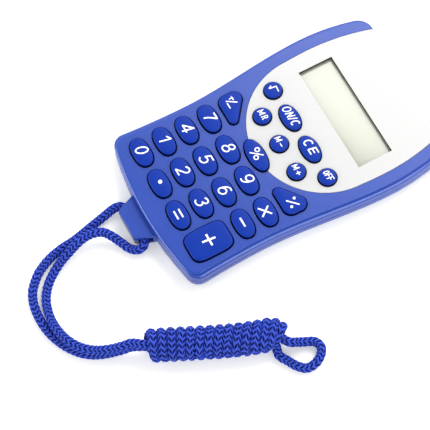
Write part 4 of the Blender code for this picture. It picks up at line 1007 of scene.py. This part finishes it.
# ---------------------------------------------------------------------------- operators
class CALC_OT_stage(Operator):
    """Sets the camera, the floor and the soft lights"""

    bl_idname = "calculator.add_stage"
    bl_label = "Add Stage"

    def execute(self, context):
        settings = context.scene.calculator_stage
        camera = bpy.data.objects.new("camera", bpy.data.cameras.new("camera"))
        camera.data.lens = settings.lens
        camera.data.clip_start = 0.01
        camera.data.clip_end = 20.0
        camera.location = settings.camera_place
        look = Vector(settings.camera_aim) - Vector(settings.camera_place)
        camera.rotation_euler = look.to_track_quat("-Z", "Y").to_euler()
        context.scene.collection.objects.link(camera)
        context.scene.camera = camera
        context.scene.view_settings.view_transform = "Standard"

        world = bpy.data.worlds.new("studio")
        world.use_nodes = True
        tree = world.node_tree
        around = add_node(tree, "ShaderNodeTexCoord").outputs["Generated"]
        height = add_node(tree, "ShaderNodeSeparateXYZ", {0: around}).outputs["Z"]
        dimmer = add_node(tree, "ShaderNodeMapRange",
                          {"Value": height, "From Min": 0.55, "From Max": 0.92,
                           "To Min": settings.sky_strength, "To Max": settings.ceiling_strength})
        set_inputs(tree, tree.nodes["Background"],
                   {"Strength": dimmer.outputs[0], "Color": (1.0, 1.0, 1.0, 1.0)})
        context.scene.world = world

        floor_mesh = slab("floor", (-4.0, -4.0, -0.02), (4.0, 4.0, -FLOOR_GAP))
        floor = bpy.data.objects.new("floor", floor_mesh)
        context.scene.collection.objects.link(floor)
        floor.data.materials.append(plastic("Floor paper", settings.floor_colour, 0.9, grain=0.05,
                                            scale=900.0, mottle=0.01, rub_and_highlight=0.0, specular=0.1))
        tree = floor.data.materials[0].node_tree
        set_inputs(tree, tree.nodes["Principled BSDF"],
                   {"Emission Color": (1.0, 1.0, 0.92, 1.0),
                    "Emission Strength": settings.floor_glow})

        softbox = self.add_light(context, "softbox", settings.softbox_power, (0.90, 0.80),
                                 settings.softbox_place)
        softbox.rotation_euler = (0.0, 0.0, settings.softbox_turn)
        for name, place in (("foot_card", settings.foot_card), ("side_card", settings.side_card)):
            card = self.add_light(context, name, settings.card_power, (0.7, 0.35), place)
            card.rotation_euler = (-Vector(place)).to_track_quat("-Z", "Y").to_euler()
            card.visible_diffuse = False
        return {"FINISHED"}

    def add_light(self, context, name, power, size, place):
        light = bpy.data.lights.new(name, "AREA")
        light.shape = "RECTANGLE"
        light.size, light.size_y = size
        light.energy = power
        lamp = bpy.data.objects.new(name, light)
        lamp.location = place
        context.scene.collection.objects.link(lamp)
        return lamp


class CALC_OT_cord(Operator):
    """Adds the knitted neck cord with its wound hank and end loop"""

    bl_idname = "calculator.add_cord"
    bl_label = "Add Neck Cord"

    def execute(self, context):
        sizes = context.scene.calculator_cord
        path = smooth_route(cord_route(), sizes.stitch / 8)
        path[:, 2] = np.maximum(path[:, 2], sizes.diameter / 2 + YARN_PROUD)
        mesh = knitted_tube(path, sizes.diameter, sizes.stitch, sizes.columns)
        cord = add_piece("neck_cord", mesh, yarn_material(), "case",
                         ("cord_strand_left", "cord_strand_right", "cord_hank", "cord_end_loop"))
        return {"FINISHED"}


class CALC_OT_covers(Operator):
    """Adds the blue front cover and the white display cover, with the holes for the keys"""

    bl_idname = "calculator.add_covers"
    bl_label = "Add Covers"

    def execute(self, context):
        case = context.scene.calculator_case
        display = context.scene.calculator_display
        rings = upper_case_rings()
        cavity = loft("cavity", [
            case_ring(WALL, WALL, WALL, case.parting_height - CUT_BEYOND),
            case_ring(WALL, WALL, WALL, FACE_Z - case.shoulder_drop - 0.0006),
            case_ring(WALL + case.shoulder_width, WALL, 0.0020, CEILING_Z),
        ])
        opening = flared("opening", lambda grow: panel_outline(case.gap / 4 + grow), 0.0, FACE_Z,
                         PANEL_ROUND)
        shape = flared("shape", lambda grow: panel_outline(-case.gap / 4 + grow), 0.0, FACE_Z,
                       PANEL_ROUND, -1)
        holes = []
        for name in KEY_NAMES:
            place = key_middle(name)

            def outline(grow, name=name, place=place):
                return [(place.x + x, place.y + y) for x, y in key_outline(name, grow)]

            holes.append(flared(name + "_hole", outline, CEILING_Z - CUT_BEYOND, FACE_Z,
                                case.hole_round))
        bosses, bores = self.bosses()
        reach = 0.02
        tunnel = slab("tunnel", (-reach, LUG_TIP_Y + WALL, 0.0016),
                      (reach, foot_y() - 0.0006, 0.0058))
        front = carve(loft("front_cover_shell", rings), [
            ("DIFFERENCE", [cavity]), ("UNION", bosses["front"]), ("DIFFERENCE", [opening]),
            ("UNION", [self.lug_half(case)]), ("DIFFERENCE", holes + bores + [tunnel])])
        soften(front)
        blue = plastic("Blue plastic", case.blue, 0.30, grain=0.05, mottle=0.04, rub_and_highlight=0.06,
                       specular=0.45)
        add_piece("front_cover_shell", front, blue, "case", ("front_cover",))

        def window(grow):
            x = display.window_width / 2 + grow
            y = display.window_height / 2 + grow
            return [(-x, WINDOW_Y - y), (x, WINDOW_Y - y), (x, WINDOW_Y + y), (-x, WINDOW_Y + y)]

        low_x, low_y = (edge - case.gap for edge in GASKET_LOW.xy)
        high_x, high_y = (edge + case.gap for edge in GASKET_HIGH.xy)
        pocket = slab("pocket", (low_x, low_y, CEILING_Z - CUT_BEYOND),
                      (high_x, high_y, FACE_Z - 0.00035))
        panel = carve(loft("display_cover_shell", rings), [
            ("DIFFERENCE", [cavity]), ("UNION", bosses["display"]), ("INTERSECT", [shape]),
            ("DIFFERENCE", holes + bores), ("DIFFERENCE", [pocket]),
            ("DIFFERENCE", [flared("window", window, 0.0, FACE_Z, 0.00012)])])
        soften(panel)
        white = plastic("Panel plastic", case.white, 0.30, grain=0.02, mottle=0.01, rub_and_highlight=0.05)
        add_piece("display_cover_shell", panel, white, "case", ("display_cover",))
        return {"FINISHED"}

    def bosses(self):
        """The posts under the face that take the screws, and the bores in them."""
        bosses = {"front": [], "display": []}
        bores = []
        for name in sorted(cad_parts):
            if "screw" not in name:
                continue
            place = middle(name)
            small = name.startswith("board")
            radius, bore = (0.0014, 0.0008) if small else (0.0021, 0.0010)
            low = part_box("circuit_board")[1].z + 0.0003 if small else 0.0055
            on_display = place.y > WINDOW_Y + 0.01 or (small and place.y > 0)
            centre = (place.x, place.y)
            bosses["display" if on_display else "front"].append(
                prism(name + "_boss", circle(radius, 24, centre), low, CEILING_Z + 0.0003))
            bores.append(prism(name + "_bore", circle(bore, 16, centre), low - CUT_BEYOND,
                               FACE_Z - 0.0015))
        return bosses, bores

    def lug_half(self, case):
        """The upper half of the cord lug, a plate that narrows away from the case."""
        rings = []
        for z, inset in ((case.parting_height + case.gap / 2, 0.0), (LUG_TOP_Z - 0.00025, 0.0001),
                         (LUG_TOP_Z - 0.00008, 0.00018), (LUG_TOP_Z, 0.0004)):
            root = LUG_ROOT_WIDTH / 2 - inset
            tip = LUG_TIP_WIDTH / 2 - inset
            tip_y = LUG_TIP_Y + inset
            right = [(tip - LUG_CORNER, tip_y), (tip, tip_y + LUG_CORNER), (root, foot_y()),
                     (root, foot_y() + LUG_IN_CASE)]
            rings.append([(x, y, z) for x, y in right + [(-x, y) for x, y in reversed(right)]])
        return loft("lug", rings)


class CALC_OT_keys(Operator):
    """Adds every key with its rounded edge, and the legend printed on it"""

    bl_idname = "calculator.add_keys"
    bl_label = "Add Keys"

    def execute(self, context):
        sizes = context.scene.calculator_keys
        blue = key_plastic(sizes)
        paint = plastic("Legend paint", sizes.legend, 0.45, grain=0.02, mottle=0.02, rub_and_highlight=0.0)
        for name in KEY_NAMES:
            place = key_middle(name)
            add_piece(name + "_cap", self.key_mesh(name, place, sizes), blue, name,
                      (name,))
            half_size = [max(axis) for axis in zip(*key_outline(name, 0.0))]
            mesh = legend_mesh(name + "_legend", name, half_size, KEY_TOP_Z, sizes.crown)
            for vertex in mesh.vertices:
                vertex.co += Vector((place.x, place.y, 0.0))
            add_piece(name + "_legend", mesh, paint, name)
        return {"FINISHED"}

    def key_mesh(self, name, place, sizes):
        """A flange held under the face and a cap with a rounded edge and a slight crown."""
        top = KEY_TOP_Z - sizes.crown
        flange_top = FLANGE_LOW_Z + sizes.flange_height
        levels = [(sizes.flange, FLANGE_LOW_Z), (sizes.flange, flange_top),
                  (-sizes.clearance, flange_top)]
        for inward, below in rounding(6):
            levels.append((-sizes.clearance - sizes.edge_round * inward,
                           top - sizes.edge_round * below))
        rings = [[(place.x + x, place.y + y, z) for x, y in key_outline(name, grow)]
                 for grow, z in levels]
        rim = key_outline(name, levels[-1][0])
        for part in (0.85, 0.6, 0.3, 0.06):
            z = top + sizes.crown * (1 - part ** 2)
            rings.append([(place.x + x * part, place.y + y * part, z) for x, y in rim])
        mesh = loft(name + "_cap", rings)
        soften(mesh, 50.0)
        return mesh


class CALC_OT_finishes(Operator):
    """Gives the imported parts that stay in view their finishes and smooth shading"""

    bl_idname = "calculator.add_finishes"
    bl_label = "Add Finishes"

    def execute(self, context):
        display = context.scene.calculator_display
        blue = bpy.data.materials["Blue plastic"]
        steel = metal("Screw steel", (0.62, 0.62, 0.60), 0.32)
        brass = metal("Contact brass", (0.75, 0.58, 0.30), 0.3)
        glass = self.glass(display)
        finishes = {
            "rear_cover": blue,
            "battery_cap": blue,
            "lcd_front_glass": glass,
            "lcd_rear_glass": glass,
            "lcd_gasket": rubber("Gasket rubber", display.gasket),
            "lcd_connector_strip": rubber("Connector rubber", (0.30, 0.30, 0.32), 0.7),
            "keypad_membrane": rubber("Keypad rubber", (0.40, 0.42, 0.45), 0.7),
            "circuit_board": plastic("Board laminate", (0.02, 0.16, 0.06), 0.4, grain=0.3,
                                     scale=1500.0, mottle=0.3),
            "controller_chip": plastic("Chip resin", (0.012, 0.012, 0.012), 0.4, grain=0.3,
                                       scale=1200.0, mottle=0.3),
            "capacitor": plastic("Capacitor ceramic", (0.40, 0.26, 0.13), 0.5, mottle=0.2),
            "button_cell": metal("Cell steel", (0.70, 0.70, 0.68), 0.25),
            "battery_contact_top": brass,
            "battery_contact_side": brass,
        }
        smooth = self.smoothing()
        for name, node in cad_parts.items():
            if node.hide_render:
                continue
            finish = steel if "screw" in name else finishes[name]
            for slot in node.material_slots:
                slot.link = "OBJECT"
                slot.material = finish
            step = node.modifiers.new("smoothing", "NODES")
            step.node_group = smooth
            even = node.modifiers.new("even_normals", "WEIGHTED_NORMAL")
            even.keep_sharp = True
        return {"FINISHED"}

    def glass(self, display):
        """A polished pane over the pale liquid-crystal sheet behind it."""
        material, tree, shader = new_material("Display glass")
        grains = add_node(tree, "ShaderNodeGroup", node_tree=moulded_grain())
        set_inputs(tree, shader, {
            "Base Color": blend_colours(tree, grains.outputs["Mottle"], tint(display.glass),
                                        tint(display.glass, 0.94)),
            "Roughness": calculate(tree, "MULTIPLY_ADD", grains.outputs["Specks"], 0.1, 0.16),
            "Coat Weight": 1.0,
            "Coat Roughness": 0.09})
        return material

    def smoothing(self):
        """Smooth shading across every edge that turns by less than 30 degrees."""
        group = bpy.data.node_groups.new("Smooth by angle", "GeometryNodeTree")
        for side in ("INPUT", "OUTPUT"):
            group.interface.new_socket("Geometry", in_out=side, socket_type="NodeSocketGeometry")
        start = group.nodes.new("NodeGroupInput")
        end = group.nodes.new("NodeGroupOutput")
        bare = add_node(group, "GeometryNodeRemoveAttribute",
                        {"Geometry": start.outputs[0], "Name": "custom_normal"})
        welded = add_node(group, "GeometryNodeMergeByDistance",
                          {"Geometry": bare.outputs[0], "Distance": 0.000002})
        smooth = add_node(group, "GeometryNodeSetShadeSmooth",
                          {"Geometry": welded.outputs[0], "Shade Smooth": True}, domain="FACE")
        angle = add_node(group, "GeometryNodeInputMeshEdgeAngle")
        sharp = add_node(group, "FunctionNodeCompare",
                         {0: angle.outputs[0], 1: math.radians(30.0)}, operation="GREATER_THAN")
        edges = add_node(group, "GeometryNodeSetShadeSmooth",
                         {"Geometry": smooth.outputs[0], "Selection": sharp.outputs[0],
                          "Shade Smooth": False}, domain="EDGE")
        group.links.new(edges.outputs[0], end.inputs[0])
        return group


class CALC_PT_panel(Panel):
    """Lists the calculator's steps and their settings"""

    bl_label = "Pocket Calculator"
    bl_idname = "CALC_PT_panel"
    bl_space_type = "VIEW_3D"
    bl_region_type = "UI"
    bl_category = "Calculator"

    def draw(self, context):
        layout = self.layout
        for step in STEPS:
            layout.operator(step.bl_idname)
        for label in ("stage", "case", "keys", "display", "cord"):
            settings = getattr(context.scene, "calculator_" + label)
            column = layout.box().column()
            column.label(text=label.capitalize())
            for name in settings.__annotations__:
                column.prop(settings, name)


STEPS = (CALC_OT_stage, CALC_OT_cord, CALC_OT_covers, CALC_OT_keys, CALC_OT_finishes)
GROUPS = {"stage": StageSettings, "case": CaseSizes, "keys": KeySizes, "display": DisplaySizes,
          "cord": CordSizes}


def register():
    for label, group in GROUPS.items():
        bpy.utils.register_class(group)
        setattr(bpy.types.Scene, "calculator_" + label, PointerProperty(type=group))
    for item in STEPS + (CALC_PT_panel,):
        bpy.utils.register_class(item)


def unregister():
    for item in reversed(STEPS + (CALC_PT_panel,)):
        bpy.utils.unregister_class(item)
    for label, group in reversed(GROUPS.items()):
        delattr(bpy.types.Scene, "calculator_" + label)
        bpy.utils.unregister_class(group)


def main():
    register()
    bpy.ops.calculator.add_stage()
    bpy.ops.calculator.add_cord()
    bpy.ops.calculator.add_covers()
    bpy.ops.calculator.add_keys()
    bpy.ops.calculator.add_finishes()


if __name__ == "__main__":
    main()
